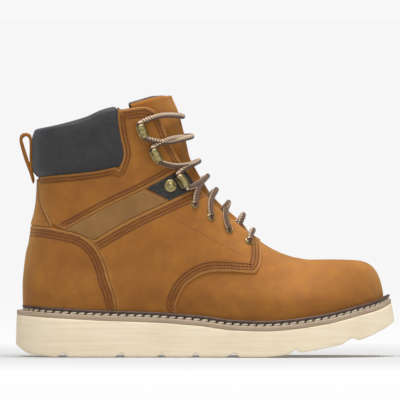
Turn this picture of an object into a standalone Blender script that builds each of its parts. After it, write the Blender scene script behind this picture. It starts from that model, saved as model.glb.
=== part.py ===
"""A wedge sole work boot for the right foot, six inch, laced over eyelets and hooks.

Metres, +Z up, +X to the toe, -Y to the outer side. The origin is under the middle of the sole.
Every table holds shares: along is a share of SOLE_LENGTH from the heel end, height a share of
BOOT_HEIGHT from the ground, and widths are shares of the named width that they follow.
"""
import math

import bmesh
import bpy
import numpy as np
from mathutils import Matrix, Vector

# Driving dimensions
SOLE_LENGTH = 0.3048
BOOT_HEIGHT = 0.2130
BALL_WIDTH = 0.1030
SHAFT_WIDTH = 0.0720
HEEL_STACK = 0.0333
TOE_SWING = 0.0070

# Thicknesses and clearances
GAP = 0.0003
WALL = 0.0022
OVERLAY = 0.0014
MIDSOLE_THICK = 0.0040
WELT_THICK = 0.0042
INSOLE_THICK = 0.0030
WELT_REACH = 0.0055
NOTCH_DEPTH = 0.0034
TONGUE_THICK = 0.0050
TONGUE_PUFF = 0.0030
TONGUE_GAP = 0.0012
TONGUE_DIP = 0.0030
PAD_BULGE = 0.0040
PAD_ROLL = 0.0034
PAD_INSIDE = 0.0150

# Fastenings
EYELET_RADIUS = 0.0035
EYELET_BORE = 0.0020
EYELET_FLANGE = 0.0010
BARREL_WALL = 0.0005
HOOK_WIDTH = 0.0070
HOOK_HEIGHT = 0.0105
HOOK_SHEET = 0.0009
HOOK_CHANNEL = 0.0044
RIVET_RADIUS = 0.0052
RIVET_RISE = 0.0026
LACE_RADIUS = 0.00185
LOOP_THICK = 0.0022
LOOP_WIDTH = 0.0140

# How the forms close
HEEL_ROUND = 2.15
TOE_ROUND_OUTER = 2.25
TOE_ROUND_INNER = 2.60
SIDE_RISE = 2.30
SIDE_CROWN = 2.15
TOE_BOX = 8.0
TOE_BOX_RISE = 1.70
SHAFT_ROUND = 2.20
BULGE = 0.035
BULGE_HEIGHT = 0.036

# Mesh density
SIDE_STATIONS = 17
FAN_STATIONS = 6
RIB_ROWS = 8
SOLE_STATIONS = 26
LACE_SIDES = 5
LACE_STATIONS = 9


def table(columns, *rows):
    """Rows of numbers as one array for each named column."""
    names = columns.split()
    return {name: np.array([row[i] for row in rows]) for i, name in enumerate(names)}


# Half widths of the upper where it meets the sole, as shares of BALL_WIDTH
FOOTPRINT = table(
    "along lateral medial",
    (0.146, 0.340, 0.335),
    (0.220, 0.345, 0.335),
    (0.320, 0.340, 0.312),
    (0.420, 0.350, 0.286),
    (0.520, 0.390, 0.300),
    (0.600, 0.447, 0.374),
    (0.660, 0.490, 0.452),
    (0.697, 0.502, 0.486),
)
TOE_TIP = 0.966

# Sole seen from the side, as shares of HEEL_STACK
SOLE_TOP = table(
    "along height",
    (0.000, 1.000),
    (0.094, 0.937),
    (0.228, 0.871),
    (0.361, 0.829),
    (0.485, 0.745),
    (0.569, 0.646),
    (0.653, 0.622),
    (0.737, 0.682),
    (0.821, 0.805),
    (0.902, 0.991),
    (0.955, 1.126),
    (1.000, 1.330),
)
SOLE_GROUND = table(
    "along height",
    (0.000, 0.280),
    (0.040, 0.070),
    (0.077, 0.030),
    (0.107, 0.000),
    (0.637, 0.000),
    (0.752, 0.120),
    (0.847, 0.285),
    (0.910, 0.430),
    (0.956, 0.610),
    (1.000, 0.860),
)
NOTCHES = table(
    "rear front",
    (0.109, 0.138),
    (0.262, 0.288),
    (0.372, 0.393),
    (0.461, 0.482),
    (0.552, 0.588),
    (0.716, 0.746),
    (0.855, 0.899),
)
NOTCH_APEX = 0.62

# How far each layer stands out from the upper, as shares of WELT_REACH
REACH = table(
    "along ground edge midsole welt",
    (0.00, 1.34, 1.22, 1.20, 0.31),
    (0.10, 1.15, 1.05, 1.02, 0.55),
    (0.25, 1.10, 1.00, 0.98, 0.84),
    (0.80, 1.10, 1.00, 0.98, 0.86),
    (0.93, 1.40, 1.12, 1.06, 0.90),
    (1.00, 1.84, 1.28, 1.14, 0.96),
)

# Back seam, half width of the shaft as shares of SHAFT_WIDTH, and the middle of its front round
BACK = table(
    "height along",
    (0.150, 0.0245),
    (0.267, 0.0230),
    (0.334, 0.0268),
    (0.381, 0.0310),
    (0.434, 0.0395),
    (0.492, 0.0440),
    (0.535, 0.0520),
    (0.585, 0.0575),
    (0.660, 0.0600),
    (0.840, 0.0590),
    (1.050, 0.0570),
)
SHAFT = table(
    "height half core",
    (0.200, 0.500, 0.340),
    (0.420, 0.498, 0.305),
    (0.560, 0.476, 0.285),
    (0.660, 0.482, 0.262),
    (0.780, 0.510, 0.245),
    (0.940, 0.545, 0.232),
    (1.100, 0.552, 0.228),
)

# Front line of the boot: tongue, instep and vamp
FRONT = table(
    "along height",
    (0.380, 1.250),
    (0.393, 1.112),
    (0.407, 0.996),
    (0.429, 0.917),
    (0.449, 0.808),
    (0.459, 0.747),
    (0.473, 0.706),
    (0.493, 0.657),
    (0.511, 0.616),
    (0.535, 0.577),
    (0.571, 0.533),
    (0.608, 0.486),
    (0.639, 0.436),
    (0.666, 0.409),
    (0.699, 0.386),
    (0.739, 0.369),
    (0.773, 0.362),
    (0.820, 0.361),
)
POLE = 0.773

# Top edge of the wall: collar, its front corner and the throat down to the vamp
TOP_EDGE = table(
    "along height",
    (0.056, 0.840),
    (0.120, 0.857),
    (0.187, 0.883),
    (0.234, 0.912),
    (0.261, 0.922),
    (0.288, 0.927),
    (0.317, 0.934),
    (0.344, 0.935),
    (0.361, 0.924),
    (0.370, 0.914),
    (0.375, 0.902),
    (0.388, 0.860),
    (0.401, 0.810),
    (0.420, 0.759),
    (0.448, 0.691),
    (0.477, 0.634),
    (0.499, 0.602),
    (0.530, 0.554),
    (0.567, 0.512),
    (0.606, 0.466),
    (0.630, 0.443),
    (0.641, 0.433),
)
THROAT_TOP = 0.375
THROAT_END = 0.641

# The collar pad's lower edge and front edge
PAD_LOW = table(
    "along height",
    (0.056, 0.674),
    (0.103, 0.682),
    (0.154, 0.689),
    (0.220, 0.701),
    (0.264, 0.715),
)
PAD_FRONT = table(
    "height along",
    (0.700, 0.268),
    (0.730, 0.277),
    (0.755, 0.282),
    (0.821, 0.274),
    (0.879, 0.268),
    (0.935, 0.266),
)
PAD_SECTION = table(
    "out up",
    (0.00, 0.00),
    (0.60, 0.03),
    (0.98, 0.30),
    (1.00, 0.60),
    (0.75, 0.88),
    (0.25, 0.99),
)

# Outlines of the overlays seen from the side
QUARTER_TOP = table(
    "along height",
    (0.208, 0.435),
    (0.274, 0.491),
    (0.401, 0.580),
    (0.455, 0.615),
    (0.482, 0.632),
    (0.520, 0.660),
    (0.600, 0.580),
    (0.641, 0.480),
)
QUARTER_FRONT = table(
    "along height",
    (0.641, 0.428),
    (0.644, 0.398),
    (0.644, 0.368),
    (0.639, 0.334),
    (0.629, 0.315),
    (0.612, 0.315),
    (0.556, 0.320),
    (0.510, 0.318),
    (0.482, 0.305),
    (0.464, 0.289),
    (0.442, 0.260),
    (0.431, 0.231),
    (0.422, 0.199),
)
COUNTER_EDGE = table(
    "along height",
    (0.045, 0.489),
    (0.087, 0.484),
    (0.130, 0.472),
    (0.167, 0.458),
    (0.187, 0.443),
    (0.207, 0.416),
    (0.224, 0.379),
    (0.237, 0.331),
    (0.246, 0.284),
    (0.258, 0.237),
    (0.264, 0.199),
)
PANEL_LOW = table(
    "along height",
    (0.102, 0.493),
    (0.130, 0.478),
    (0.173, 0.512),
    (0.254, 0.574),
    (0.338, 0.631),
    (0.416, 0.692),
    (0.445, 0.715),
)
STAY_EDGE = table(
    "along height",
    (0.064, 0.664),
    (0.067, 0.605),
    (0.075, 0.567),
    (0.098, 0.500),
)
OUTLINE_GAP = 0.0006

EYELETS = table(
    "along height",
    (0.610, 0.429),
    (0.559, 0.472),
    (0.511, 0.521),
    (0.469, 0.569),
)
HOOKS = table(
    "along height",
    (0.434, 0.655),
    (0.365, 0.755),
    (0.330, 0.847),
)
RIVET = (0.406, 0.640)
TONGUE = table(
    "rise half",
    (0.00, 0.22),
    (0.12, 0.30),
    (0.40, 0.40),
    (0.70, 0.46),
    (1.00, 0.515),
)
TONGUE_ROOT = 0.658
TONGUE_TOP = 0.407
PULL_LOOP = table(
    "outer_along outer_height hole_along hole_height",
    (0.0475, 0.648, 0.0375, 0.728),
    (0.0440, 0.654, 0.0352, 0.731),
    (0.0360, 0.690, 0.0325, 0.744),
    (0.0235, 0.738, 0.0280, 0.764),
    (0.0140, 0.785, 0.0225, 0.790),
    (0.0105, 0.812, 0.0185, 0.810),
    (0.0140, 0.831, 0.0200, 0.818),
    (0.0250, 0.838, 0.0265, 0.825),
    (0.0380, 0.833, 0.0335, 0.821),
    (0.0430, 0.815, 0.0365, 0.808),
    (0.0440, 0.780, 0.0372, 0.780),
    (0.0435, 0.740, 0.0368, 0.752),
    (0.0455, 0.700, 0.0372, 0.735),
    (0.0500, 0.662, 0.0378, 0.728),
)
LACING = table(
    "lower upper front",
    (1, 1, 0.619),
    (1, 2, 0.587),
    (2, 3, 0.549),
    (3, 4, 0.514),
    (4, 5, 0.490),
    (5, 6, 0.467),
    (6, 7, 0.447),
    (7, 7, 0.433),
)

LATERAL = -1
MEDIAL = 1
SIDE_NAMES = {LATERAL: "lateral", MEDIAL: "medial"}


def smooth(x, knots, values):
    """Cubic curve through the knots, level where the values turn, so that it never overshoots."""
    step = np.diff(knots)
    slope = np.diff(values) / step
    tangent = np.zeros(len(knots))
    tangent[0] = slope[0]
    tangent[-1] = slope[-1]
    for i in range(1, len(knots) - 1):
        if slope[i - 1] * slope[i] > 0:
            before = 2 * step[i] + step[i - 1]
            after = step[i] + 2 * step[i - 1]
            tangent[i] = (before + after) / (before / slope[i - 1] + after / slope[i])
    x = np.clip(x, knots[0], knots[-1])
    i = np.clip(np.searchsorted(knots, x, side="right") - 1, 0, len(step) - 1)
    t = (x - knots[i]) / step[i]
    return (
        (2 * t**3 - 3 * t**2 + 1) * values[i]
        + (t**3 - 2 * t**2 + t) * step[i] * tangent[i]
        + (3 * t**2 - 2 * t**3) * values[i + 1]
        + (t**3 - t**2) * step[i] * tangent[i + 1]
    )


def ease(value, low, high):
    t = np.clip((value - low) / (high - low), 0, 1)
    return t * t * (3 - 2 * t)


def to_x(along):
    return (along - 0.5) * SOLE_LENGTH


def to_along(x):
    return x / SOLE_LENGTH + 0.5


def to_z(height):
    return height * BOOT_HEIGHT


def side_points(shape):
    """A table of along and height as points in the side view, in metres."""
    return [(to_x(a), to_z(h)) for a, h in zip(shape["along"], shape["height"])]


# Levels of the sole

def sole_top(x):
    return HEEL_STACK * smooth(to_along(x), SOLE_TOP["along"], SOLE_TOP["height"])


def sole_ground(x):
    """Underside: level from the heel to the ball, toe spring, and the seven notches."""
    along = to_along(x)
    ground = HEEL_STACK * smooth(along, SOLE_GROUND["along"], SOLE_GROUND["height"])
    for rear, front in zip(NOTCHES["rear"], NOTCHES["front"]):
        apex = rear + NOTCH_APEX * (front - rear)
        ground += NOTCH_DEPTH * np.interp(along, (rear, apex, front), (0, 1, 0))
    return ground


def midsole_under(x):
    return sole_top(x) + GAP


def midsole_top(x):
    return sole_top(x) + MIDSOLE_THICK


def upper_base(x):
    return midsole_top(x) + GAP


def welt_top(x):
    return midsole_top(x) + WELT_THICK


def insole_top(x):
    return upper_base(x) + INSOLE_THICK


# The last: half widths and outlines

HEEL_X = to_x(FOOTPRINT["along"][0])
BALL_X = to_x(FOOTPRINT["along"][-1])
TOE_X = to_x(TOE_TIP)
POLE_X = to_x(POLE)
FRONT_X = np.linspace(to_x(FRONT["along"][0]), to_x(FRONT["along"][-1]), 400)
FRONT_Z = to_z(smooth(to_along(FRONT_X), FRONT["along"], FRONT["height"]))


def front_z(x):
    return np.interp(x, FRONT_X, FRONT_Z)


def front_x(z):
    return np.interp(z, FRONT_Z[::-1], FRONT_X[::-1])


def back_x(z):
    return to_x(smooth(z / BOOT_HEIGHT, BACK["height"], BACK["along"]))


def center(x):
    """The middle line swings to the inner side towards the toe."""
    return TOE_SWING * np.clip((x - BALL_X) / (TOE_X - BALL_X), 0, 1) ** 2


def foot_half(side, x):
    """Half width of the upper at its base, from the middle line."""
    column = "lateral" if side == LATERAL else "medial"
    half = BALL_WIDTH * smooth(to_along(x), FOOTPRINT["along"], FOOTPRINT[column])
    heel = np.clip((HEEL_X - x) / (HEEL_X - back_x(upper_base(x))), 0, 1)
    toe = np.clip((x - BALL_X) / (TOE_X - BALL_X), 0, 1)
    power = TOE_ROUND_OUTER if side == LATERAL else TOE_ROUND_INNER
    rounded = (1 - heel**HEEL_ROUND) ** (1 / HEEL_ROUND) * (1 - toe**power) ** (1 / power)
    return half * rounded


def body_half(side, x, z):
    """Half width of the upper at any point of the side view between heel centre and pole."""
    z = np.asarray(z, dtype=float)
    shaft = SHAFT_WIDTH * smooth(z / BOOT_HEIGHT, SHAFT["height"], SHAFT["half"])
    climb = ease(z / BOOT_HEIGHT, 0.21, 0.59)
    swell = np.clip((z - welt_top(x)) / BULGE_HEIGHT, 0, 1)
    slab = foot_half(side, x) * (1 - climb) + shaft * climb
    slab = slab * (1 + BULGE * np.sin(math.pi * swell) ** 2)
    base = upper_base(x)
    rise = np.clip((z - base) / (front_z(x) - base), 0, 1)
    crown = (1 - rise**SIDE_RISE) ** (1 / SIDE_CROWN)
    core = to_x(smooth(z / BOOT_HEIGHT, SHAFT["height"], SHAFT["core"]))
    reach = np.clip((x - core) / (front_x(z) - core), 0, 1)
    barrel = (1 - reach**SHAFT_ROUND) ** (1 / SHAFT_ROUND)
    forward = ease(to_along(x), 0.352, 0.550)
    return slab * (forward * crown + (1 - forward) * barrel)


def top_edge(x):
    """Height of the wall's free edge, or of the closed ridge in front of the throat."""
    along = to_along(x)
    edge = to_z(smooth(along, TOP_EDGE["along"], TOP_EDGE["height"]))
    return np.where(along >= THROAT_END, front_z(x), np.minimum(edge, front_z(x)))


def wall_edge(x):
    """The wall stops below the collar pad, which is rolled over it."""
    return top_edge(x) - PAD_ROLL * (1 - ease(to_along(x), 0.270, 0.286))


# Ribs: lines of the upper from the sole to its top edge, as functions of height

def side_point(side, x, z, out=0.0):
    return np.array([x, center(x) + side * (body_half(side, x, z) + out), z])


def heel_point(angle, z, out=0.0):
    """A point of the rounded back; the angle runs from -90 (lateral) over 0 (back) to 90."""
    side = MEDIAL if angle > 0 else LATERAL
    depth = HEEL_X - back_x(z)
    half = body_half(side, HEEL_X, z)
    cos = math.cos(math.radians(angle))
    sin = math.sin(math.radians(angle))
    radius = ((cos / depth) ** HEEL_ROUND + (abs(sin) / half) ** HEEL_ROUND) ** (-1 / HEEL_ROUND)
    return np.array([HEEL_X - (radius + out) * cos, (radius + out) * sin, z])


OUTLINE_SAMPLES = 400


def base_outline(side):
    """The upper's outline at its base from the heel centre to the toe tip, as x and y."""
    share = np.linspace(0, 1, OUTLINE_SAMPLES)
    x = HEEL_X + (TOE_X - HEEL_X) * np.sin(share * math.pi / 2)
    return x, center(x) + side * foot_half(side, x)


def toe_point(angle, rise):
    """A point of the toe fan; rise goes from 0 at the sole to 1 at the pole on the ridge."""
    side = MEDIAL if angle > 0 else LATERAL
    x, y = base_outline(side)
    pole_y = center(POLE_X)
    bearing = np.degrees(np.arctan2(abs(y - pole_y), x - POLE_X))
    order = np.argsort(bearing)
    distance = np.hypot(x - POLE_X, y - pole_y)
    radius = np.interp(abs(angle), bearing[order], distance[order])
    cos = math.cos(math.radians(angle))
    sin = math.sin(math.radians(angle))
    base = upper_base(POLE_X + radius * cos)
    power = SIDE_CROWN + (TOE_BOX - SIDE_CROWN) * cos**2
    lift = SIDE_RISE + (TOE_BOX_RISE - SIDE_RISE) * cos**2
    turn = rise * math.pi / 2
    z = base + (front_z(POLE_X) - base) * math.sin(turn) ** (2 / lift)
    inward = max(math.cos(turn), 0.0) ** (2 / power)
    slab = body_half(side, POLE_X, z) / max(body_half(side, POLE_X, base), 1e-9)
    rise_share = np.clip((z - base) / (front_z(POLE_X) - base), 0, 1)
    crown = max((1 - rise_share**SIDE_RISE), 1e-12) ** (1 / SIDE_CROWN)
    narrowing = 1 + sin**2 * (slab / crown - 1) if rise < 0.999 else 1.0
    reach = radius * inward * narrowing
    return np.array([POLE_X + reach * cos, pole_y + reach * sin, z])


RIB_SAMPLES = 48


def evenly(points, count, start=0.0):
    """The same line with count points evenly spaced along it."""
    points = np.array(points)
    length = np.concatenate([[0], np.cumsum(np.linalg.norm(np.diff(points, axis=0), axis=1))])
    wanted = np.linspace(start, 1, count) * length[-1]
    return np.stack([np.interp(wanted, length, points[:, k]) for k in range(3)], axis=1)


def side_rib(side, x):
    base = upper_base(x)
    top = float(wall_edge(x))
    full = float(front_z(x))
    end = math.asin(min(1.0, ((top - base) / (full - base))) ** (SIDE_RISE / 2))
    turns = np.linspace(0, end, RIB_SAMPLES)
    heights = base + (full - base) * np.sin(turns) ** (2 / SIDE_RISE)
    heights[-1] = top
    return evenly([side_point(side, x, z) for z in heights], RIB_ROWS)


def heel_rib(angle):
    top = 0.0
    x = back_x(to_z(0.84))
    for _ in range(3):
        top = float(wall_edge(x))
        x = heel_point(angle, top)[0]
    base = upper_base(heel_point(angle, upper_base(HEEL_X))[0])
    heights = np.linspace(base, top, RIB_SAMPLES)
    return evenly([heel_point(angle, z) for z in heights], RIB_ROWS)


def toe_rib(angle):
    return evenly([toe_point(angle, r) for r in np.linspace(0, 1, RIB_SAMPLES)], RIB_ROWS)


def side_stations():
    """Places of the side ribs: even, with more where the top edge turns."""
    even = np.linspace(HEEL_X, POLE_X, SIDE_STATIONS)
    corners = [to_x(a) for a in (0.254, 0.270, 0.286, 0.344, 0.361, THROAT_TOP, 0.390, 0.410, THROAT_END)]
    spacing = even[1] - even[0]
    kept = [x for x in even if min(abs(x - c) for c in corners) > 0.4 * spacing]
    return sorted(kept + corners)


def upper_ribs():
    """All ribs in one loop: heel, lateral side, toe, medial side."""
    stations = side_stations()
    fan = [90 * (i / FAN_STATIONS) for i in range(FAN_STATIONS)]
    ribs = [heel_rib(-angle) for angle in fan]
    ribs += [side_rib(LATERAL, x) for x in stations]
    ribs += [toe_rib(-angle) for angle in fan[:0:-1]]
    ribs += [toe_rib(angle) for angle in fan]
    ribs += [side_rib(MEDIAL, x) for x in stations[::-1]]
    ribs += [heel_rib(angle) for angle in fan[:0:-1]]
    return ribs


# Scene, materials and small helpers

def collection(name):
    group = bpy.data.collections.new(name)
    bpy.context.scene.collection.children.link(group)
    return group


def material(name, color, roughness, metallic=0.0):
    made = bpy.data.materials.new(name)
    made.use_nodes = True
    shader = made.node_tree.nodes["Principled BSDF"]
    shader.inputs["Base Color"].default_value = (*color, 1)
    shader.inputs["Roughness"].default_value = roughness
    shader.inputs["Metallic"].default_value = metallic
    made.diffuse_color = (*color, 1)
    return made


def new_object(name, bm, group, finish=None, merge=1e-6, split=False):
    bmesh.ops.remove_doubles(bm, verts=bm.verts, dist=merge)
    if split:
        bmesh.ops.triangulate(bm, faces=bm.faces, quad_method="SHORT_EDGE")
    bmesh.ops.recalc_face_normals(bm, faces=bm.faces)
    mesh = bpy.data.meshes.new(name)
    bm.to_mesh(mesh)
    bm.free()
    mesh.shade_smooth()
    obj = bpy.data.objects.new(name, mesh)
    if finish:
        mesh.materials.append(finish)
    group.objects.link(obj)
    return obj


def as_cutter(obj):
    obj.hide_render = True
    obj.display_type = "WIRE"
    return obj


def cut(obj, cutter, operation="DIFFERENCE"):
    modifier = obj.modifiers.new(operation.lower(), "BOOLEAN")
    modifier.operation = operation
    modifier.solver = "EXACT"
    modifier.object = cutter


def solidify(obj, thickness, offset):
    modifier = obj.modifiers.new("thickness", "SOLIDIFY")
    modifier.thickness = thickness
    modifier.offset = offset


def grid_faces(bm, rows, closed=False):
    """Quads between neighbouring rows of points, around a loop when closed."""
    verts = [[bm.verts.new(p) for p in row] for row in rows]
    count = len(verts)
    for i in range(count if closed else count - 1):
        here = verts[i]
        there = verts[(i + 1) % count]
        for j in range(len(here) - 1):
            bm.faces.new((here[j], there[j], there[j + 1], here[j + 1]))
    return verts


def frame_at(origin, normal, up):
    """Matrix with Z along the normal and Y as near to up as it can be."""
    z_axis = Vector(normal).normalized()
    x_axis = Vector(up).cross(z_axis).normalized()
    y_axis = z_axis.cross(x_axis)
    turn = Matrix((x_axis, y_axis, z_axis)).transposed()
    return Matrix.Translation(Vector(origin)) @ turn.to_4x4()


def surface_normal(side, x, z):
    step = 0.0005
    along = side_point(side, x + step, z) - side_point(side, x - step, z)
    upward = side_point(side, x, z + step) - side_point(side, x, z - step)
    normal = np.cross(along, upward)
    normal /= np.linalg.norm(normal)
    return normal if normal[1] * side > 0 else -normal


def on_surface(side, x, z, out):
    return side_point(side, x, z) + surface_normal(side, x, z) * out


# Sole layers

def layer_loop(column, height, inner=None):
    """One level of a layer: lateral and medial edges at shared stations from heel to toe."""
    edges = {}
    for side in (LATERAL, MEDIAL):
        share = np.linspace(-1, 1, 3 * OUTLINE_SAMPLES)
        x = 0.5 * (TOE_X + back_x(upper_base(HEEL_X))) + 0.5 * (
            TOE_X - back_x(upper_base(HEEL_X))
        ) * np.sin(share * math.pi / 2)
        y = center(x) + side * foot_half(side, x)
        dx = np.gradient(x)
        dy = np.gradient(y)
        size = np.hypot(dx, dy)
        reach = inner
        if inner is None:
            reach = WELT_REACH * smooth(to_along(x), REACH["along"], REACH[column])
        dy[0], dx[0], size[0] = side, 0, 1
        dy[-1], dx[-1], size[-1] = -side, 0, 1
        edges[side] = (x - side * dy / size * reach, y + side * dx / size * reach)
    lateral_x, lateral_y = edges[LATERAL]
    medial_x, medial_y = edges[MEDIAL]
    tail = min(lateral_x[0], medial_x[0])
    tip = max(lateral_x[-1], medial_x[-1])
    stations = tail + (tip - tail) * layer_shares()
    lateral = np.interp(stations, lateral_x, lateral_y)
    medial = np.interp(stations, medial_x, medial_y)
    lateral[0] = medial[0] = 0.5 * (lateral_y[0] + medial_y[0])
    lateral[-1] = medial[-1] = 0.5 * (lateral_y[-1] + medial_y[-1])
    heights = height(stations)
    low = [(x, y, z) for x, y, z in zip(stations, lateral, heights)]
    high = [(x, y, z) for x, y, z in zip(stations, medial, heights)]
    return low, high


def layer_shares():
    """Stations from heel to toe: close together at the ends, and one at each notch corner."""
    turns = np.linspace(-1, 1, SOLE_STATIONS + 1)
    even = 0.5 + 0.5 * np.sin(turns * math.pi / 2)
    corners = []
    for rear, front in zip(NOTCHES["rear"], NOTCHES["front"]):
        corners += [rear, rear + NOTCH_APEX * (front - rear), front]
    kept = [s for s in even if min(abs(s - c) for c in corners) > 0.006]
    return np.array(sorted(kept + corners))


def plate(name, levels, group, finish):
    """A closed plate from two or more levels, each with its lateral and medial edge."""
    bm = bmesh.new()
    rings = []
    for lateral, medial in levels:
        rings.append(([bm.verts.new(p) for p in lateral], [bm.verts.new(p) for p in medial]))
    for (low_l, low_m), (high_l, high_m) in zip(rings, rings[1:]):
        for i in range(len(low_l) - 1):
            bm.faces.new((low_l[i], low_l[i + 1], high_l[i + 1], high_l[i]))
            bm.faces.new((low_m[i + 1], low_m[i], high_m[i], high_m[i + 1]))
    for lateral, medial in (rings[0], rings[-1]):
        for i in range(len(lateral) - 1):
            bm.faces.new((lateral[i], medial[i], medial[i + 1], lateral[i + 1]))
    bmesh.ops.remove_doubles(bm, verts=bm.verts, dist=1e-6)
    return new_object(name, bm, group, finish)


def make_outsole(group, finish):
    soft = 0.0012

    def lifted(x):
        return sole_ground(x) + soft

    inner_ground = layer_inset("ground", sole_ground, soft)
    levels = [inner_ground, layer_loop("ground", lifted), layer_loop("edge", sole_top)]
    return plate("outsole", levels, group, finish)


def layer_inset(column, height, inset):
    """A level drawn in by a chamfer."""
    lateral, medial = layer_loop(column, height)
    count = len(lateral)
    tail = lateral[0][0]
    tip = lateral[-1][0]
    middle = 0.5 * (tail + tip)
    scale = 1 - inset / (0.5 * (tip - tail))
    drawn = []
    for edge, sign in ((lateral, 1), (medial, -1)):
        row = []
        for i in range(count):
            x, y, z = edge[i]
            shift = 0 if i in (0, count - 1) else sign * inset
            row.append((middle + (x - middle) * scale, y + shift, z))
        drawn.append(row)
    return drawn[0], drawn[1]


def make_midsole(group, finish):
    levels = [layer_loop("midsole", midsole_under), layer_loop("midsole", midsole_top)]
    return plate("midsole", levels, group, finish)


def make_insole(group, finish):
    inset = -(WALL + 5 * GAP)
    levels = [layer_loop("", upper_base, inset), layer_loop("", insole_top, inset)]
    return plate("insole", levels, group, finish)


def ring_points(loop):
    lateral, medial = loop
    return list(lateral) + list(medial[-2:0:-1])


def make_welt(group, finish):
    """A ring around the foot of the upper, on the midsole."""
    outer_low = ring_points(layer_loop("welt", upper_base))
    outer_high = ring_points(layer_loop("welt", welt_top))
    inner_high = ring_points(layer_loop("", welt_top, 2 * GAP))
    inner_low = ring_points(layer_loop("", upper_base, 2 * GAP))
    bm = bmesh.new()
    sections = [list(s) + [s[0]] for s in zip(outer_low, outer_high, inner_high, inner_low)]
    grid_faces(bm, sections, closed=True)
    return new_object("welt", bm, group, finish)


# The upper and what is sewn on it

def upper_surface():
    bm = bmesh.new()
    grid_faces(bm, upper_ribs(), closed=True)
    return bm


def make_upper(group, finish):
    upper = new_object("upper", upper_surface(), group, finish, merge=2e-5, split=True)
    solidify(upper, WALL, -1)
    return upper


def prism(name, outline, y_from, y_to, group):
    """A side view outline pushed through from one y to another, as a cutter."""
    bm = bmesh.new()
    verts = [bm.verts.new((x, y_from, z)) for x, z in outline]
    face = bm.faces.new(verts)
    pushed = bmesh.ops.extrude_face_region(bm, geom=[face])
    moved = [v for v in pushed["geom"] if isinstance(v, bmesh.types.BMVert)]
    bmesh.ops.translate(bm, verts=moved, vec=(0, y_to - y_from, 0))
    return as_cutter(new_object(name, bm, group))


def overlay(name, outline, y_from, y_to, group, cutters, finish):
    """A leather panel on the upper: a shell of the upper's own form inside an outline."""
    panel = new_object(name, upper_surface(), group, finish, merge=2e-5, split=True)
    solidify(panel, OVERLAY, 1 + 2 * GAP / OVERLAY)
    cut(panel, prism(name + "_outline", outline, y_from, y_to, cutters), "INTERSECT")
    return panel


def rounded(shape, steps=3):
    """The outline's points joined by a smooth line."""
    points = np.array(side_points(shape))
    length = np.concatenate([[0], np.cumsum(np.linalg.norm(np.diff(points, axis=0), axis=1))])
    fine = []
    for a, b in zip(length, length[1:]):
        fine += list(np.linspace(a, b, steps, endpoint=False))
    fine = np.array(fine + [length[-1]])
    x = smooth(fine, length, points[:, 0])
    z = smooth(fine, length, points[:, 1])
    return list(zip(x, z))


def welt_line(from_x, to_end):
    stations = np.linspace(from_x, to_end, 8)
    return [(x, float(welt_top(x)) + GAP) for x in stations]


def quarter_outline():
    front = rounded(QUARTER_FRONT, 2)
    edge = [(x + OUTLINE_GAP, z) for x, z in rounded(COUNTER_EDGE, 1)[4:]]
    bottom = welt_line(to_x(0.419), edge[-1][0])
    return side_points(QUARTER_TOP)[:-1] + front + bottom + edge[::-1]


def counter_outline():
    edge = rounded(COUNTER_EDGE, 1)
    bottom = welt_line(edge[-1][0], to_x(0.01))
    return [(to_x(0.0), edge[0][1])] + edge + bottom + [(to_x(0.0), bottom[-1][1])]


def stay_outline():
    low = [(x, z + OUTLINE_GAP) for x, z in rounded(COUNTER_EDGE, 1)[:2]]
    edge = side_points(STAY_EDGE)
    return [(to_x(0.0), edge[0][1])] + edge + low[::-1] + [(to_x(0.0), low[0][1])]


def panel_outline():
    far = to_x(0.44)
    high = to_z(0.96)
    front = [(x + 3 * OUTLINE_GAP, z) for x, z in side_points(PAD_FRONT)]
    low = [(x, z - 3 * OUTLINE_GAP) for x, z in side_points(PAD_LOW)[1:-1]]
    stay = [(x + OUTLINE_GAP, z) for x, z in side_points(STAY_EDGE)[:-1]]
    return side_points(PANEL_LOW) + [(far, high), (front[-1][0], high)] + front[::-1] + low[::-1] + stay


def strip_outline():
    """The slanting strip between the quarter's top edge and the shaft panel's lower edge."""
    heel = [(x, z + OUTLINE_GAP) for x, z in side_points(COUNTER_EDGE)[3:5]]
    under = heel + [(x, z + OUTLINE_GAP) for x, z in side_points(QUARTER_TOP)[:5]]
    over = [(x, z - OUTLINE_GAP) for x, z in side_points(PANEL_LOW)[1:]]
    beyond = [(under[-1][0] + 0.5 * OUTLINE_GAP, over[-1][1])]
    return under + beyond + over[::-1]


def make_overlays(group, cutters, finish, strip_finish):
    far = BALL_WIDTH
    made = {}
    for side in (LATERAL, MEDIAL):
        name = SIDE_NAMES[side]
        near = side * GAP
        made["quarter", side] = overlay(
            "quarter_" + name, quarter_outline(), near, side * far, group, cutters, finish
        )
        made["panel", side] = overlay(
            "shaft_panel_" + name, panel_outline(), near, side * far, group, cutters, finish
        )
        made["strip", side] = overlay(
            "ankle_strip_" + name, strip_outline(), near, side * far, group, cutters, strip_finish
        )
    overlay("heel_counter", counter_outline(), -far, far, group, cutters, finish)
    overlay("back_stay", stay_outline(), -far, far, group, cutters, finish)
    return made


# Collar pad

def pad_rib_points(place):
    """The pad's cross section at one place: padded outside, rolled over the wall, and inside."""
    top = float(top_edge(place["x"]))
    low = float(to_z(smooth(to_along(place["x"]), PAD_LOW["along"], PAD_LOW["height"])))
    wall = float(wall_edge(place["x"])) + GAP
    inner = top - PAD_INSIDE
    points = []
    for out, up in zip(PAD_SECTION["out"], PAD_SECTION["up"]):
        points.append((GAP * 2 + PAD_BULGE * out, low + (top - low) * up))
    points += [
        (-0.4 * WALL, top),
        (-1.5 * WALL, top - 0.25 * PAD_ROLL),
        (-WALL - 0.7 * PAD_BULGE, top - 1.1 * PAD_ROLL),
        (-WALL - 0.6 * PAD_BULGE, inner + 0.2 * PAD_ROLL),
        (-WALL - 3 * GAP, inner),
        (-WALL - 3 * GAP, wall),
        (2 * GAP, wall),
    ]
    return [place["point"](z, out) for out, z in points]


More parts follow.
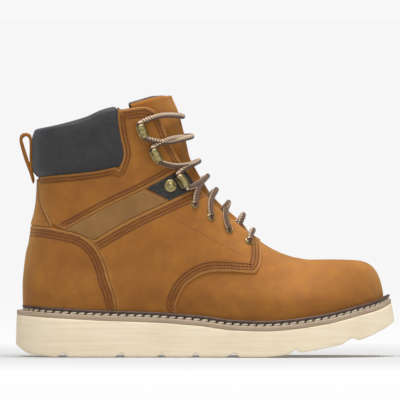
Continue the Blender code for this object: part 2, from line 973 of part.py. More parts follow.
def make_collar_pad(group, finish):
    front_end = to_x(PAD_FRONT["along"].min())
    stations = [x for x in side_stations() if HEEL_X + 0.001 < x < front_end][::-1]
    sections = []

    def side_section(side, x):
        def point(z, out):
            return side_point(side, x, z, out)

        return pad_rib_points({"x": x, "point": point})

    def front_section(side):
        def point(z, out):
            edge = smooth(z / BOOT_HEIGHT, PAD_FRONT["height"], PAD_FRONT["along"])
            return side_point(side, to_x(edge), z, out)

        return pad_rib_points({"x": front_end, "point": point})

    def heel_section(angle):
        x = heel_point(angle, to_z(0.84))[0]

        def point(z, out):
            return heel_point(angle, z, out)

        return pad_rib_points({"x": x, "point": point})

    angles = [90 * i / FAN_STATIONS for i in range(FAN_STATIONS + 1)]
    sections += [front_section(LATERAL)]
    sections += [side_section(LATERAL, x) for x in stations]
    sections += [heel_section(-angle) for angle in angles[::-1]]
    sections += [heel_section(angle) for angle in angles[1:]]
    sections += [side_section(MEDIAL, x) for x in stations[::-1]]
    sections += [front_section(MEDIAL)]
    bm = bmesh.new()
    looped = [section + [section[0]] for section in sections]
    verts = grid_faces(bm, looped)
    bm.faces.new([v for v in verts[0][:-1]])
    bm.faces.new([v for v in verts[-1][:-1]])
    return new_object("collar_pad", bm, group, finish)


# Tongue

def front_path(count, low=TONGUE_ROOT, high=TONGUE_TOP):
    """Points on the front line from under the vamp to the tongue's top, and their normals."""
    low_x = to_x(low)
    high_x = to_x(high)
    keep = (FRONT_X <= low_x) & (FRONT_X >= high_x)
    line = np.stack([FRONT_X[keep][::-1], FRONT_X[keep][::-1] * 0, FRONT_Z[keep][::-1]], axis=1)
    points = evenly(line, count)
    tangent = np.gradient(points, axis=0)
    normal = np.stack([tangent[:, 2], tangent[:, 1] * 0, -tangent[:, 0]], axis=1)
    normal /= np.linalg.norm(normal, axis=1)[:, None]
    return points, normal


def depth_for(side, point, normal, half):
    """How far behind the front line the upper's form is as wide as half."""
    low = 0.0
    high = 0.08
    for _ in range(30):
        depth = 0.5 * (low + high)
        probe = point - normal * depth
        if body_half(side, probe[0], probe[2]) < half:
            low = depth
        else:
            high = depth
    return high


def throat_half(point, normal):
    """Half of the throat's opening at a point of the front line."""
    for depth in np.linspace(0, 0.05, 101):
        probe = point - normal * depth
        if probe[2] < top_edge(probe[0]):
            return float(body_half(LATERAL, probe[0], probe[2]))
    return 0.0


TONGUE_ROWS = 13
TONGUE_COLUMNS = 5


def tongue_rows():
    points, normals = front_path(TONGUE_ROWS)
    rows = []
    for i, (point, normal) in enumerate(zip(points, normals)):
        rise = i / (TONGUE_ROWS - 1)
        widest = SHAFT_WIDTH * smooth(rise, TONGUE["rise"], TONGUE["half"])
        opening = throat_half(point, normal)
        dip = TONGUE_DIP * (1 - ease(rise, 0.04, 0.20))
        row = []
        for k in range(-TONGUE_COLUMNS, TONGUE_COLUMNS + 1):
            side = MEDIAL if k > 0 else LATERAL
            half = widest * abs(math.sin(k / TONGUE_COLUMNS * math.pi / 2))
            depth = depth_for(side, point, normal, half) if k else 0.0
            spread = min(half / (0.80 * opening), 1.0) if opening > 0.002 else 1.0
            puff = TONGUE_PUFF * (1 - spread**2) ** 2
            place = point - normal * (depth - puff + dip)
            row.append((place[0], center(place[0]) + side * half, place[2]))
        rows.append(row)
    return rows


def make_tongue(group, finish):
    bm = bmesh.new()
    grid_faces(bm, tongue_rows())
    tongue = new_object("tongue", bm, group, finish)
    under_wall = WALL + TONGUE_GAP
    solidify(tongue, TONGUE_THICK, -1 - 2 * under_wall / TONGUE_THICK)
    return tongue


# Eyelets, hooks and rivets

def turned(name, profile, steps, group, finish):
    """A ring or dome turned about Z from a closed profile of radius and height."""
    bm = bmesh.new()
    verts = [bm.verts.new((radius, 0, height)) for radius, height in profile]
    for a, b in zip(verts, verts[1:] + verts[:1]):
        bm.edges.new((a, b))
    obj = new_object(name, bm, group, finish)
    screw = obj.modifiers.new("turn", "SCREW")
    screw.steps = steps
    screw.render_steps = steps
    screw.use_merge_vertices = True
    screw.merge_threshold = 1e-5
    return obj


def make_eyelets(group, cutters, finish, upper, overlays):
    seat = OVERLAY + 3 * GAP
    bore = EYELET_BORE
    barrel = bore + BARREL_WALL
    rim = seat + EYELET_FLANGE
    profile = [
        (bore + 0.4 * BARREL_WALL, rim),
        (EYELET_RADIUS - BARREL_WALL, rim),
        (EYELET_RADIUS, seat),
        (barrel, seat),
        (barrel, -WALL),
        (bore, -WALL),
    ]
    for side in (LATERAL, MEDIAL):
        for number, (x, z) in enumerate(side_points(EYELETS), 1):
            spot = side_point(side, x, z)
            turn = frame_at(spot, surface_normal(side, x, z), (0, 0, 1))
            name = f"{SIDE_NAMES[side]}_{number}"
            ring = turned("eyelet_" + name, profile, 8, group, finish)
            ring.matrix_world = turn
            bm = bmesh.new()
            bmesh.ops.create_cone(
                bm, cap_ends=True, segments=12, radius1=barrel + GAP, radius2=barrel + GAP, depth=0.012
            )
            bmesh.ops.transform(bm, matrix=turn, verts=bm.verts)
            hole = as_cutter(new_object("hole_" + name, bm, cutters))
            cut(upper, hole)
            cut(overlays["quarter", side], hole)


def hook_profile(width):
    """The bent sheet of a hook: base, neck on the throat side, and the plate over the lace."""
    half = 0.5 * width
    top = 2 * HOOK_SHEET + HOOK_CHANNEL
    bend = HOOK_SHEET
    return [
        (-half, 0),
        (half - bend, 0),
        (half, bend),
        (half, top - bend),
        (half - bend, top),
        (-0.8 * half, top),
        (-0.8 * half, top - HOOK_SHEET),
        (half - 1.5 * bend, top - HOOK_SHEET),
        (half - HOOK_SHEET, top - 1.5 * bend),
        (half - HOOK_SHEET, 1.5 * bend),
        (half - 1.5 * bend, HOOK_SHEET),
        (-half, HOOK_SHEET),
    ]


def make_hooks(group, finish):
    seat = OVERLAY + 2.5 * GAP
    for side in (LATERAL, MEDIAL):
        for number, (x, z) in enumerate(side_points(HOOKS), 1):
            normal = surface_normal(side, x, z)
            spot = side_point(side, x, z) + normal * seat
            ahead = front_direction(x, z)
            turn = frame_at(spot, normal, ahead)
            bm = bmesh.new()
            verts = [bm.verts.new((0, t, n)) for t, n in hook_profile(HOOK_WIDTH)]
            face = bm.faces.new(verts)
            pushed = bmesh.ops.extrude_face_region(bm, geom=[face])
            moved = [v for v in pushed["geom"] if isinstance(v, bmesh.types.BMVert)]
            bmesh.ops.translate(bm, verts=moved, vec=(HOOK_HEIGHT, 0, 0))
            bmesh.ops.translate(bm, verts=bm.verts, vec=(-0.5 * HOOK_HEIGHT, 0, 0))
            bmesh.ops.transform(bm, matrix=turn, verts=bm.verts)
            new_object(f"hook_{SIDE_NAMES[side]}_{number}", bm, group, finish)


def front_direction(x, z):
    """Direction in the side view from a point towards the throat edge."""
    edge_x = np.linspace(to_x(THROAT_TOP), to_x(THROAT_END), 200)
    edge_z = top_edge(edge_x)
    nearest = np.argmin((edge_x - x) ** 2 + (edge_z - z) ** 2)
    ahead = np.array([edge_x[nearest] - x, 0, edge_z[nearest] - z])
    return ahead / np.linalg.norm(ahead)


def make_rivets(group, finish):
    """The domed rivet behind the lowest hook."""
    seat = OVERLAY + 2.5 * GAP
    rise = RIVET_RISE
    radius = RIVET_RADIUS
    profile = [(0, rise), (0.45 * radius, 0.8 * rise), (0.6 * radius, 0.4 * rise),
               (0.9 * radius, 0.35 * rise), (radius, 0), (0, 0)]
    for side in (LATERAL, MEDIAL):
        x = to_x(RIVET[0])
        z = to_z(RIVET[1])
        normal = surface_normal(side, x, z)
        dome = turned("rivet_" + SIDE_NAMES[side], profile, 14, group, finish)
        dome.matrix_world = frame_at(side_point(side, x, z) + normal * seat, normal, (0, 0, 1))


def make_pull_loop(group, finish):
    """A strap doubled into a loop behind the collar: sewn together below its opening."""
    shape = PULL_LOOP
    outer = list(zip(to_x(shape["outer_along"]), to_z(shape["outer_height"])))
    hole = list(zip(to_x(shape["hole_along"]), to_z(shape["hole_height"])))
    half = 0.5 * LOOP_WIDTH
    sections = []
    for (x, z), (hole_x, hole_z) in zip(outer, hole):
        section = [(x, -half, z), (hole_x, -half, hole_z), (hole_x, half, hole_z), (x, half, z)]
        sections.append(section + [section[0]])
    bm = bmesh.new()
    grid_faces(bm, sections, closed=True)
    return new_object("pull_loop", bm, group, finish)


# Lace

def fastening(side, number, upward):
    """Where a strand leaves an eyelet (1 to 4) or a hook (5 to 7), in the side view."""
    if number <= len(EYELETS["along"]):
        return np.array(side_points(EYELETS)[number - 1]), False
    x, z = side_points(HOOKS)[number - 1 - len(EYELETS["along"])]
    ahead = front_direction(x, z)
    beside = np.array([-ahead[2], ahead[0]]) * (1 if upward else -1)
    return np.array([x, z]) + beside * (0.5 * HOOK_HEIGHT + LACE_RADIUS + 5 * GAP), True


def half_strand(side, number, upward, front, over):
    """A strand from a fastening to its crossing at the middle of the tongue."""
    start, at_hook = fastening(side, number, upward)
    middle = np.array([to_x(front), float(front_z(to_x(front)))])
    reach = np.linalg.norm(middle - start)
    first = 0.0 if at_hook else (EYELET_RADIUS + 2 * GAP) / reach
    shares = first + (1 - first) * np.sin(np.linspace(0, 1, 60) * math.pi / 2)
    flap = OVERLAY + 4 * GAP + LACE_RADIUS
    tongue = LACE_RADIUS + 2 * GAP - WALL - TONGUE_GAP
    crown = tongue + TONGUE_PUFF
    line = [start + (middle - start) * share for share in shares]
    beyond = [z - float(top_edge(x)) for x, z in line]
    edge = next((s for s, b in zip(shares, beyond) if b > 0), 0.5)
    points = []
    for share, (x, z), rise in zip(shares[:-1], line, beyond):
        settled = ease(share, edge, 1.0)
        if over:
            out = flap + (crown - flap) * settled
        elif rise > LACE_RADIUS + GAP:
            out = tongue + (crown - tongue) * settled
        else:
            continue
        points.append(on_surface(side, x, z, out))
    forward = front_path(2, front + 0.004, front - 0.004)[1][0]
    points.append(np.array([middle[0], center(middle[0]), middle[1]]) + forward * crown)
    return points


def tube(name, points, group, finish):
    """A round strand through points."""
    bm = bmesh.new()
    tangent = np.gradient(points, axis=0)
    sections = []
    for place, ahead in zip(points, tangent):
        turn = frame_at(place, ahead, (1, 0, 0.3))
        angles = [2 * math.pi * k / LACE_SIDES for k in range(LACE_SIDES)]
        ring = [turn @ Vector((math.cos(a) * LACE_RADIUS, math.sin(a) * LACE_RADIUS, 0)) for a in angles]
        sections.append(ring + [ring[0]])
    verts = grid_faces(bm, sections)
    bm.faces.new(verts[0][:-1])
    bm.faces.new(verts[-1][:-1])
    return new_object(name, bm, group, finish)


def make_lace(group, cutters, finish):
    """Crossings and straight bars over the tongue; what runs under the leather is left out."""
    eyelets = len(EYELETS["along"])
    rows = zip(LACING["lower"], LACING["upper"], LACING["front"])
    for number, (lower, upper, front) in enumerate(rows, 1):
        straight = lower == upper
        strands = []
        for side in (LATERAL,) if straight else (LATERAL, MEDIAL):
            first = half_strand(side, int(lower), True, front, straight or lower > 1)
            last = half_strand(-side, int(upper), straight, front, straight or upper > eyelets)
            strands.append(evenly(first + last[-2::-1], LACE_STATIONS))
        name = f"lace_{number}"
        lace = tube(name, strands[0], group, finish)
        if not straight:
            cut(lace, as_cutter(tube(name + "_under", strands[1], cutters, finish)), "UNION")


def main():
    for obj in list(bpy.data.objects):
        bpy.data.objects.remove(obj, do_unlink=True)
    boot = collection("wedge_sole_work_boot")
    cutters = collection("cutters")
    leather = material("leather", (0.35, 0.13, 0.03), 0.75)
    strip = material("smooth_leather", (0.30, 0.16, 0.05), 0.6)
    padding = material("padding", (0.04, 0.04, 0.045), 0.9)
    cream = material("cream_rubber", (0.79, 0.67, 0.47), 0.7)
    taupe = material("taupe_rubber", (0.45, 0.33, 0.22), 0.7)
    brown = material("welt_brown", (0.08, 0.035, 0.02), 0.6)
    brass = material("brass", (0.32, 0.25, 0.10), 0.4, 0.9)
    cord = material("lace_brown", (0.10, 0.045, 0.018), 0.8)
    make_outsole(boot, cream)
    make_midsole(boot, taupe)
    make_welt(boot, brown)
    make_insole(boot, strip)
    upper = make_upper(boot, strip)
    overlays = make_overlays(boot, cutters, leather, strip)
    make_collar_pad(boot, padding)
    make_tongue(boot, leather)
    make_eyelets(boot, cutters, brass, upper, overlays)
    make_hooks(boot, brass)
    make_rivets(boot, brass)
    make_pull_loop(boot, leather)
    make_lace(boot, cutters, cord)


main()
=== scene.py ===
"""A wheat leather work boot with a cream wedge sole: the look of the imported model."""

import functools
import math

import bmesh
import bpy
import numpy as np
from mathutils import Matrix, Vector
from mathutils.geometry import delaunay_2d_cdt


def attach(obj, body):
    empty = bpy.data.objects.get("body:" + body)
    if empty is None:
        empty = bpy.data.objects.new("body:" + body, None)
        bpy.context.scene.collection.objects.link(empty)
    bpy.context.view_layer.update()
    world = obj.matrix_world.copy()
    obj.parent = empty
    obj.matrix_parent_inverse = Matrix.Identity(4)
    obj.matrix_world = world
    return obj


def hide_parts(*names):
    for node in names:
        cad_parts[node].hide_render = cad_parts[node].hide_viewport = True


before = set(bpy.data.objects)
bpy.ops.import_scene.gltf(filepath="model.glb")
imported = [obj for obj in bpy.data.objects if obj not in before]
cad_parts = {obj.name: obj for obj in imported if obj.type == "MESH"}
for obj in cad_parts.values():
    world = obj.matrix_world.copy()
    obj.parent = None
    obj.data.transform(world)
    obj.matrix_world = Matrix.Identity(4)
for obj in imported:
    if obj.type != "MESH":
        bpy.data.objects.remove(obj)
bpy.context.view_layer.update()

# Driving dimensions
SOLE_LENGTH = 0.3048
BOOT_HEIGHT = 0.2130
BALL_WIDTH = 0.1030
SHAFT_WIDTH = 0.0720
HEEL_STACK = 0.0333
TOE_SWING = 0.0070

# Thicknesses and clearances
GAP = 0.0003
WALL = 0.0022
OVERLAY = 0.0014
MIDSOLE_THICK = 0.0040
WELT_THICK = 0.0042
WELT_REACH = 0.0055
NOTCH_DEPTH = 0.0034
TONGUE_THICK = 0.0050
TONGUE_PUFF = 0.0030
TONGUE_GAP = 0.0012
TONGUE_DIP = 0.0030
PAD_BULGE = 0.0040
PAD_ROLL = 0.0034
PAD_INSIDE = 0.0150

# Fastenings
EYELET_RADIUS = 0.0035
EYELET_BORE = 0.0020
EYELET_FLANGE = 0.0010
HOOK_WIDTH = 0.0070
HOOK_HEIGHT = 0.0105
HOOK_SHEET = 0.0009
HOOK_CHANNEL = 0.0044
RIVET_RADIUS = 0.0052
RIVET_RISE = 0.0026
LACE_RADIUS = 0.00185
LOOP_WIDTH = 0.0140
LOOP_SOFT = 0.0004

# How the forms close
HEEL_ROUND = 2.15
HEEL_ARC = 0.055
TOE_ROUND_OUTER = 2.25
TOE_ROUND_INNER = 2.60
SIDE_RISE = 2.30
SIDE_CROWN = 2.15
TOE_BOX = 8.0
TOE_BOX_RISE = 1.70
SHAFT_ROUND = 2.20
BULGE = 0.035
BULGE_HEIGHT = 0.036

# Mesh density
SIDE_STATIONS = 90
FAN_STATIONS = 22
RIB_ROWS = 56
RIB_SAMPLES = 48
SOLE_STATIONS = 190
OUTLINE_SAMPLES = 400


def table(columns, *rows):
    """Rows of numbers as one array for each named column."""
    names = columns.split()
    return {name: np.array([row[i] for row in rows]) for i, name in enumerate(names)}


# Half widths of the upper where it meets the sole, as shares of BALL_WIDTH
FOOTPRINT = table(
    "along lateral medial",
    (0.146, 0.340, 0.335),
    (0.220, 0.345, 0.335),
    (0.320, 0.340, 0.312),
    (0.420, 0.350, 0.286),
    (0.520, 0.390, 0.300),
    (0.600, 0.447, 0.374),
    (0.660, 0.490, 0.452),
    (0.697, 0.502, 0.486),
)
TOE_TIP = 0.966

# Sole seen from the side, as shares of HEEL_STACK
SOLE_TOP = table(
    "along height",
    (0.000, 1.000),
    (0.094, 0.937),
    (0.228, 0.871),
    (0.361, 0.829),
    (0.485, 0.745),
    (0.569, 0.646),
    (0.653, 0.622),
    (0.737, 0.682),
    (0.821, 0.805),
    (0.902, 0.991),
    (0.955, 1.126),
    (1.000, 1.330),
)
SOLE_GROUND = table(
    "along height",
    (0.000, 0.280),
    (0.040, 0.070),
    (0.077, 0.030),
    (0.107, 0.000),
    (0.637, 0.000),
    (0.752, 0.120),
    (0.847, 0.285),
    (0.910, 0.430),
    (0.956, 0.610),
    (1.000, 0.860),
)
NOTCHES = table(
    "rear front",
    (0.109, 0.138),
    (0.262, 0.288),
    (0.372, 0.393),
    (0.461, 0.482),
    (0.552, 0.588),
    (0.716, 0.746),
    (0.855, 0.899),
)
NOTCH_APEX = 0.62

# How far each layer stands out from the upper, as shares of WELT_REACH
REACH = table(
    "along ground edge midsole welt",
    (0.00, 1.34, 1.22, 1.20, 0.31),
    (0.10, 1.15, 1.05, 1.02, 0.55),
    (0.25, 1.10, 1.00, 0.98, 0.84),
    (0.80, 1.10, 1.00, 0.98, 0.86),
    (0.93, 1.40, 1.12, 1.06, 0.90),
    (1.00, 1.84, 1.28, 1.14, 0.96),
)

# Back seam, half width of the shaft as shares of SHAFT_WIDTH, and the middle of its front round
BACK = table(
    "height along",
    (0.150, 0.0245),
    (0.267, 0.0230),
    (0.334, 0.0268),
    (0.381, 0.0310),
    (0.434, 0.0395),
    (0.492, 0.0440),
    (0.535, 0.0520),
    (0.585, 0.0575),
    (0.660, 0.0600),
    (0.840, 0.0590),
    (1.050, 0.0570),
)
SHAFT = table(
    "height half core",
    (0.200, 0.500, 0.340),
    (0.420, 0.498, 0.305),
    (0.560, 0.476, 0.285),
    (0.660, 0.482, 0.262),
    (0.780, 0.510, 0.245),
    (0.940, 0.545, 0.232),
    (1.100, 0.552, 0.228),
)

# Front line of the boot: tongue, instep and vamp
FRONT = table(
    "along height",
    (0.380, 1.250),
    (0.393, 1.112),
    (0.407, 0.996),
    (0.429, 0.917),
    (0.449, 0.808),
    (0.459, 0.747),
    (0.473, 0.706),
    (0.493, 0.657),
    (0.511, 0.616),
    (0.535, 0.577),
    (0.571, 0.533),
    (0.608, 0.486),
    (0.639, 0.436),
    (0.666, 0.409),
    (0.699, 0.386),
    (0.739, 0.369),
    (0.773, 0.362),
    (0.820, 0.361),
)
POLE = 0.773

# Top edge of the wall: collar, its front corner and the throat down to the vamp
TOP_EDGE = table(
    "along height",
    (0.056, 0.840),
    (0.120, 0.857),
    (0.187, 0.883),
    (0.234, 0.912),
    (0.261, 0.922),
    (0.288, 0.927),
    (0.317, 0.934),
    (0.344, 0.935),
    (0.361, 0.924),
    (0.370, 0.914),
    (0.375, 0.902),
    (0.388, 0.860),
    (0.401, 0.810),
    (0.420, 0.759),
    (0.448, 0.691),
    (0.477, 0.634),
    (0.499, 0.602),
    (0.530, 0.554),
    (0.567, 0.512),
    (0.606, 0.466),
    (0.630, 0.443),
    (0.641, 0.433),
)
THROAT_TOP = 0.375
THROAT_END = 0.641

# The collar pad's lower edge and front edge
PAD_LOW = table(
    "along height",
    (0.056, 0.674),
    (0.103, 0.682),
    (0.154, 0.689),
    (0.220, 0.701),
    (0.264, 0.715),
)
PAD_FRONT = table(
    "height along",
    (0.700, 0.268),
    (0.730, 0.277),
    (0.755, 0.282),
    (0.821, 0.274),
    (0.879, 0.268),
    (0.935, 0.266),
)
# Outlines of the overlays seen from the side
QUARTER_TOP = table(
    "along height",
    (0.208, 0.435),
    (0.274, 0.491),
    (0.401, 0.580),
    (0.455, 0.615),
    (0.482, 0.632),
    (0.520, 0.660),
    (0.600, 0.580),
    (0.641, 0.480),
)
QUARTER_FRONT = table(
    "along height",
    (0.641, 0.428),
    (0.644, 0.398),
    (0.644, 0.368),
    (0.639, 0.334),
    (0.629, 0.315),
    (0.612, 0.315),
    (0.556, 0.320),
    (0.510, 0.318),
    (0.482, 0.305),
    (0.464, 0.289),
    (0.442, 0.260),
    (0.431, 0.231),
    (0.422, 0.199),
)
COUNTER_EDGE = table(
    "along height",
    (0.045, 0.489),
    (0.087, 0.484),
    (0.130, 0.472),
    (0.167, 0.458),
    (0.187, 0.443),
    (0.207, 0.416),
    (0.224, 0.379),
    (0.237, 0.331),
    (0.246, 0.284),
    (0.258, 0.237),
    (0.264, 0.199),
)
PANEL_LOW = table(
    "along height",
    (0.102, 0.493),
    (0.130, 0.478),
    (0.173, 0.512),
    (0.254, 0.574),
    (0.338, 0.631),
    (0.416, 0.692),
    (0.445, 0.715),
)
STAY_EDGE = table(
    "along height",
    (0.064, 0.664),
    (0.067, 0.605),
    (0.075, 0.567),
    (0.098, 0.500),
)
OUTLINE_GAP = 0.0006
AHEAD = np.array([OUTLINE_GAP, 0])
ABOVE = np.array([0, OUTLINE_GAP])

EYELETS = table(
    "along height",
    (0.610, 0.429),
    (0.559, 0.472),
    (0.511, 0.521),
    (0.469, 0.569),
)
HOOKS = table(
    "along height",
    (0.434, 0.655),
    (0.365, 0.755),
    (0.330, 0.847),
)
RIVET = (0.406, 0.640)
TONGUE = table(
    "rise half",
    (0.00, 0.22),
    (0.12, 0.30),
    (0.40, 0.40),
    (0.70, 0.46),
    (1.00, 0.515),
)
TONGUE_ROOT = 0.658
TONGUE_TOP = 0.407
PULL_LOOP = table(
    "outer_along outer_height hole_along hole_height",
    (0.0475, 0.648, 0.0375, 0.728),
    (0.0440, 0.654, 0.0352, 0.731),
    (0.0360, 0.690, 0.0325, 0.744),
    (0.0235, 0.738, 0.0280, 0.764),
    (0.0140, 0.785, 0.0225, 0.790),
    (0.0105, 0.812, 0.0185, 0.810),
    (0.0140, 0.831, 0.0200, 0.818),
    (0.0250, 0.838, 0.0265, 0.825),
    (0.0380, 0.833, 0.0335, 0.821),
    (0.0430, 0.815, 0.0365, 0.808),
    (0.0440, 0.780, 0.0372, 0.780),
    (0.0435, 0.740, 0.0368, 0.752),
    (0.0455, 0.700, 0.0372, 0.735),
    (0.0500, 0.662, 0.0378, 0.728),
)
LACING = table(
    "lower upper front",
    (1, 1, 0.619),
    (1, 2, 0.587),
    (2, 3, 0.549),
    (3, 4, 0.514),
    (4, 5, 0.490),
    (5, 6, 0.467),
    (6, 7, 0.447),
    (7, 7, 0.433),
)

LATERAL = -1
MEDIAL = 1
SIDE_NAMES = {LATERAL: "lateral", MEDIAL: "medial"}


KEPT_TANGENTS = {}


def tangents(knots, values):
    """Slopes at the knots, level where the values turn; worked out once for each table column."""
    key = (id(knots), id(values))
    if key in KEPT_TANGENTS:
        return KEPT_TANGENTS[key][0]
    step = np.diff(knots)
    slope = np.diff(values) / step
    tangent = np.zeros(len(knots))
    tangent[0] = slope[0]
    tangent[-1] = slope[-1]
    for i in range(1, len(knots) - 1):
        if slope[i - 1] * slope[i] > 0:
            before = 2 * step[i] + step[i - 1]
            after = step[i] + 2 * step[i - 1]
            tangent[i] = (before + after) / (before / slope[i - 1] + after / slope[i])
    KEPT_TANGENTS[key] = (tangent, knots, values)
    return tangent


def hermite(s, first, last, leaving, arriving):
    """Cubic from first to last with the slopes given at both, as s goes from 0 to 1."""
    start = (2 * s**3 - 3 * s**2 + 1) * first + (s**3 - 2 * s**2 + s) * leaving
    return start + (3 * s**2 - 2 * s**3) * last + (s**3 - s**2) * arriving


def smooth(x, knots, values):
    """Cubic curve through the knots that never overshoots."""
    step = np.diff(knots)
    tangent = tangents(knots, values)
    x = np.clip(x, knots[0], knots[-1])
    i = np.clip(np.searchsorted(knots, x, side="right") - 1, 0, len(step) - 1)
    t = (x - knots[i]) / step[i]
    return hermite(t, values[i], values[i + 1], step[i] * tangent[i], step[i] * tangent[i + 1])


def ease(value, low, high):
    t = np.clip((value - low) / (high - low), 0, 1)
    return t * t * (3 - 2 * t)


def to_x(along):
    return (along - 0.5) * SOLE_LENGTH


def to_along(x):
    return x / SOLE_LENGTH + 0.5


def to_z(height):
    return height * BOOT_HEIGHT


def side_points(shape):
    """A table of along and height as points in the side view, in metres."""
    return [(to_x(a), to_z(h)) for a, h in zip(shape["along"], shape["height"])]


# Levels of the sole

def sole_top(x):
    return HEEL_STACK * smooth(to_along(x), SOLE_TOP["along"], SOLE_TOP["height"])


def sole_ground(x):
    """Underside: level from the heel to the ball, toe spring, and the seven notches."""
    along = to_along(x)
    ground = HEEL_STACK * smooth(along, SOLE_GROUND["along"], SOLE_GROUND["height"])
    for rear, front in zip(NOTCHES["rear"], NOTCHES["front"]):
        apex = rear + NOTCH_APEX * (front - rear)
        ground += NOTCH_DEPTH * np.interp(along, (rear, apex, front), (0, 1, 0))
    return ground


def midsole_top(x):
    return sole_top(x) + MIDSOLE_THICK


def upper_base(x):
    return midsole_top(x) + GAP


def welt_top(x):
    return midsole_top(x) + WELT_THICK


# The last: half widths and outlines

HEEL_X = to_x(FOOTPRINT["along"][0])
BALL_X = to_x(FOOTPRINT["along"][-1])
TOE_X = to_x(TOE_TIP)
POLE_X = to_x(POLE)
FRONT_X = np.linspace(to_x(FRONT["along"][0]), to_x(FRONT["along"][-1]), 400)
FRONT_Z = to_z(smooth(to_along(FRONT_X), FRONT["along"], FRONT["height"]))


def front_z(x):
    return np.interp(x, FRONT_X, FRONT_Z)


def front_x(z):
    return np.interp(z, FRONT_Z[::-1], FRONT_X[::-1])


def back_x(z):
    return to_x(smooth(z / BOOT_HEIGHT, BACK["height"], BACK["along"]))


def center(x):
    """The middle line swings to the inner side towards the toe."""
    return TOE_SWING * np.clip((x - BALL_X) / (TOE_X - BALL_X), 0, 1) ** 2


def foot_half(side, x):
    """Half width of the upper at its base, from the middle line."""
    column = "lateral" if side == LATERAL else "medial"
    half = BALL_WIDTH * smooth(to_along(x), FOOTPRINT["along"], FOOTPRINT[column])
    heel = np.clip((HEEL_X - x) / (HEEL_X - back_x(upper_base(x))), 0, 1)
    toe = np.clip((x - BALL_X) / (TOE_X - BALL_X), 0, 1)
    power = TOE_ROUND_OUTER if side == LATERAL else TOE_ROUND_INNER
    rounded = (1 - heel**HEEL_ROUND) ** (1 / HEEL_ROUND) * (1 - toe**power) ** (1 / power)
    return half * rounded


def body_half(side, x, z):
    """Half width of the upper at any point of the side view between heel centre and pole."""
    z = np.asarray(z, dtype=float)
    shaft = SHAFT_WIDTH * smooth(z / BOOT_HEIGHT, SHAFT["height"], SHAFT["half"])
    climb = ease(z / BOOT_HEIGHT, 0.21, 0.59)
    swell = np.clip((z - welt_top(x)) / BULGE_HEIGHT, 0, 1)
    slab = foot_half(side, x) * (1 - climb) + shaft * climb
    slab = slab * (1 + BULGE * np.sin(math.pi * swell) ** 2)
    base = upper_base(x)
    rise = np.clip((z - base) / (front_z(x) - base), 0, 1)
    crown = (1 - rise**SIDE_RISE) ** (1 / SIDE_CROWN)
    core = to_x(smooth(z / BOOT_HEIGHT, SHAFT["height"], SHAFT["core"]))
    reach = np.clip((x - core) / (front_x(z) - core), 0, 1)
    barrel = (1 - reach**SHAFT_ROUND) ** (1 / SHAFT_ROUND)
    forward = ease(to_along(x), 0.352, 0.550)
    return slab * (forward * crown + (1 - forward) * barrel)


def top_edge(x):
    """Height of the wall's free edge, or of the closed ridge in front of the throat."""
    along = to_along(x)
    edge = to_z(smooth(along, TOP_EDGE["along"], TOP_EDGE["height"]))
    return np.where(along >= THROAT_END, front_z(x), np.minimum(edge, front_z(x)))


def wall_edge(x):
    """The wall stops below the collar pad, which is rolled over it."""
    return top_edge(x) - PAD_ROLL * (1 - ease(to_along(x), 0.270, 0.286))


# Ribs: lines of the upper from the sole to its top edge, as functions of height

def heel_point(angle, z):
    """A point of the rounded back; the angle runs from -90 (lateral) over 0 (back) to 90."""
    side = MEDIAL if angle > 0 else LATERAL
    depth = HEEL_X - back_x(z)
    half = body_half(side, HEEL_X, z)
    cos = math.cos(math.radians(angle))
    sin = math.sin(math.radians(angle))
    radius = ((cos / depth) ** HEEL_ROUND + (abs(sin) / half) ** HEEL_ROUND) ** (-1 / HEEL_ROUND)
    return np.array([HEEL_X - radius * cos, radius * sin, z])


@functools.cache
def base_outline(side):
    """The upper's outline at its base from the heel centre to the toe tip, as x and y."""
    share = np.linspace(0, 1, OUTLINE_SAMPLES)
    x = HEEL_X + (TOE_X - HEEL_X) * np.sin(share * math.pi / 2)
    return x, center(x) + side * foot_half(side, x)


def toe_point(angle, rise):
    """A point of the toe fan; rise goes from 0 at the sole to 1 at the pole on the ridge."""
    side = MEDIAL if angle > 0 else LATERAL
    x, y = base_outline(side)
    pole_y = center(POLE_X)
    bearing = np.degrees(np.arctan2(abs(y - pole_y), x - POLE_X))
    order = np.argsort(bearing)
    distance = np.hypot(x - POLE_X, y - pole_y)
    radius = np.interp(abs(angle), bearing[order], distance[order])
    cos = math.cos(math.radians(angle))
    sin = math.sin(math.radians(angle))
    base = upper_base(POLE_X + radius * cos)
    power = SIDE_CROWN + (TOE_BOX - SIDE_CROWN) * cos**2
    lift = SIDE_RISE + (TOE_BOX_RISE - SIDE_RISE) * cos**2
    turn = rise * math.pi / 2
    z = base + (front_z(POLE_X) - base) * math.sin(turn) ** (2 / lift)
    inward = max(math.cos(turn), 0.0) ** (2 / power)
    slab = body_half(side, POLE_X, z) / max(body_half(side, POLE_X, base), 1e-9)
    rise_share = np.clip((z - base) / (front_z(POLE_X) - base), 0, 1)
    crown = max((1 - rise_share**SIDE_RISE), 1e-12) ** (1 / SIDE_CROWN)
    narrowing = 1 + sin**2 * (slab / crown - 1) if rise < 0.999 else 1.0
    reach = radius * inward * narrowing
    return np.array([POLE_X + reach * cos, pole_y + reach * sin, z])


def evenly(points, count):
    """The same line with count points evenly spaced along it."""
    points = np.array(points)
    length = np.concatenate([[0], np.cumsum(np.linalg.norm(np.diff(points, axis=0), axis=1))])
    wanted = np.linspace(0, 1, count) * length[-1]
    return np.stack([np.interp(wanted, length, points[:, k]) for k in range(3)], axis=1)


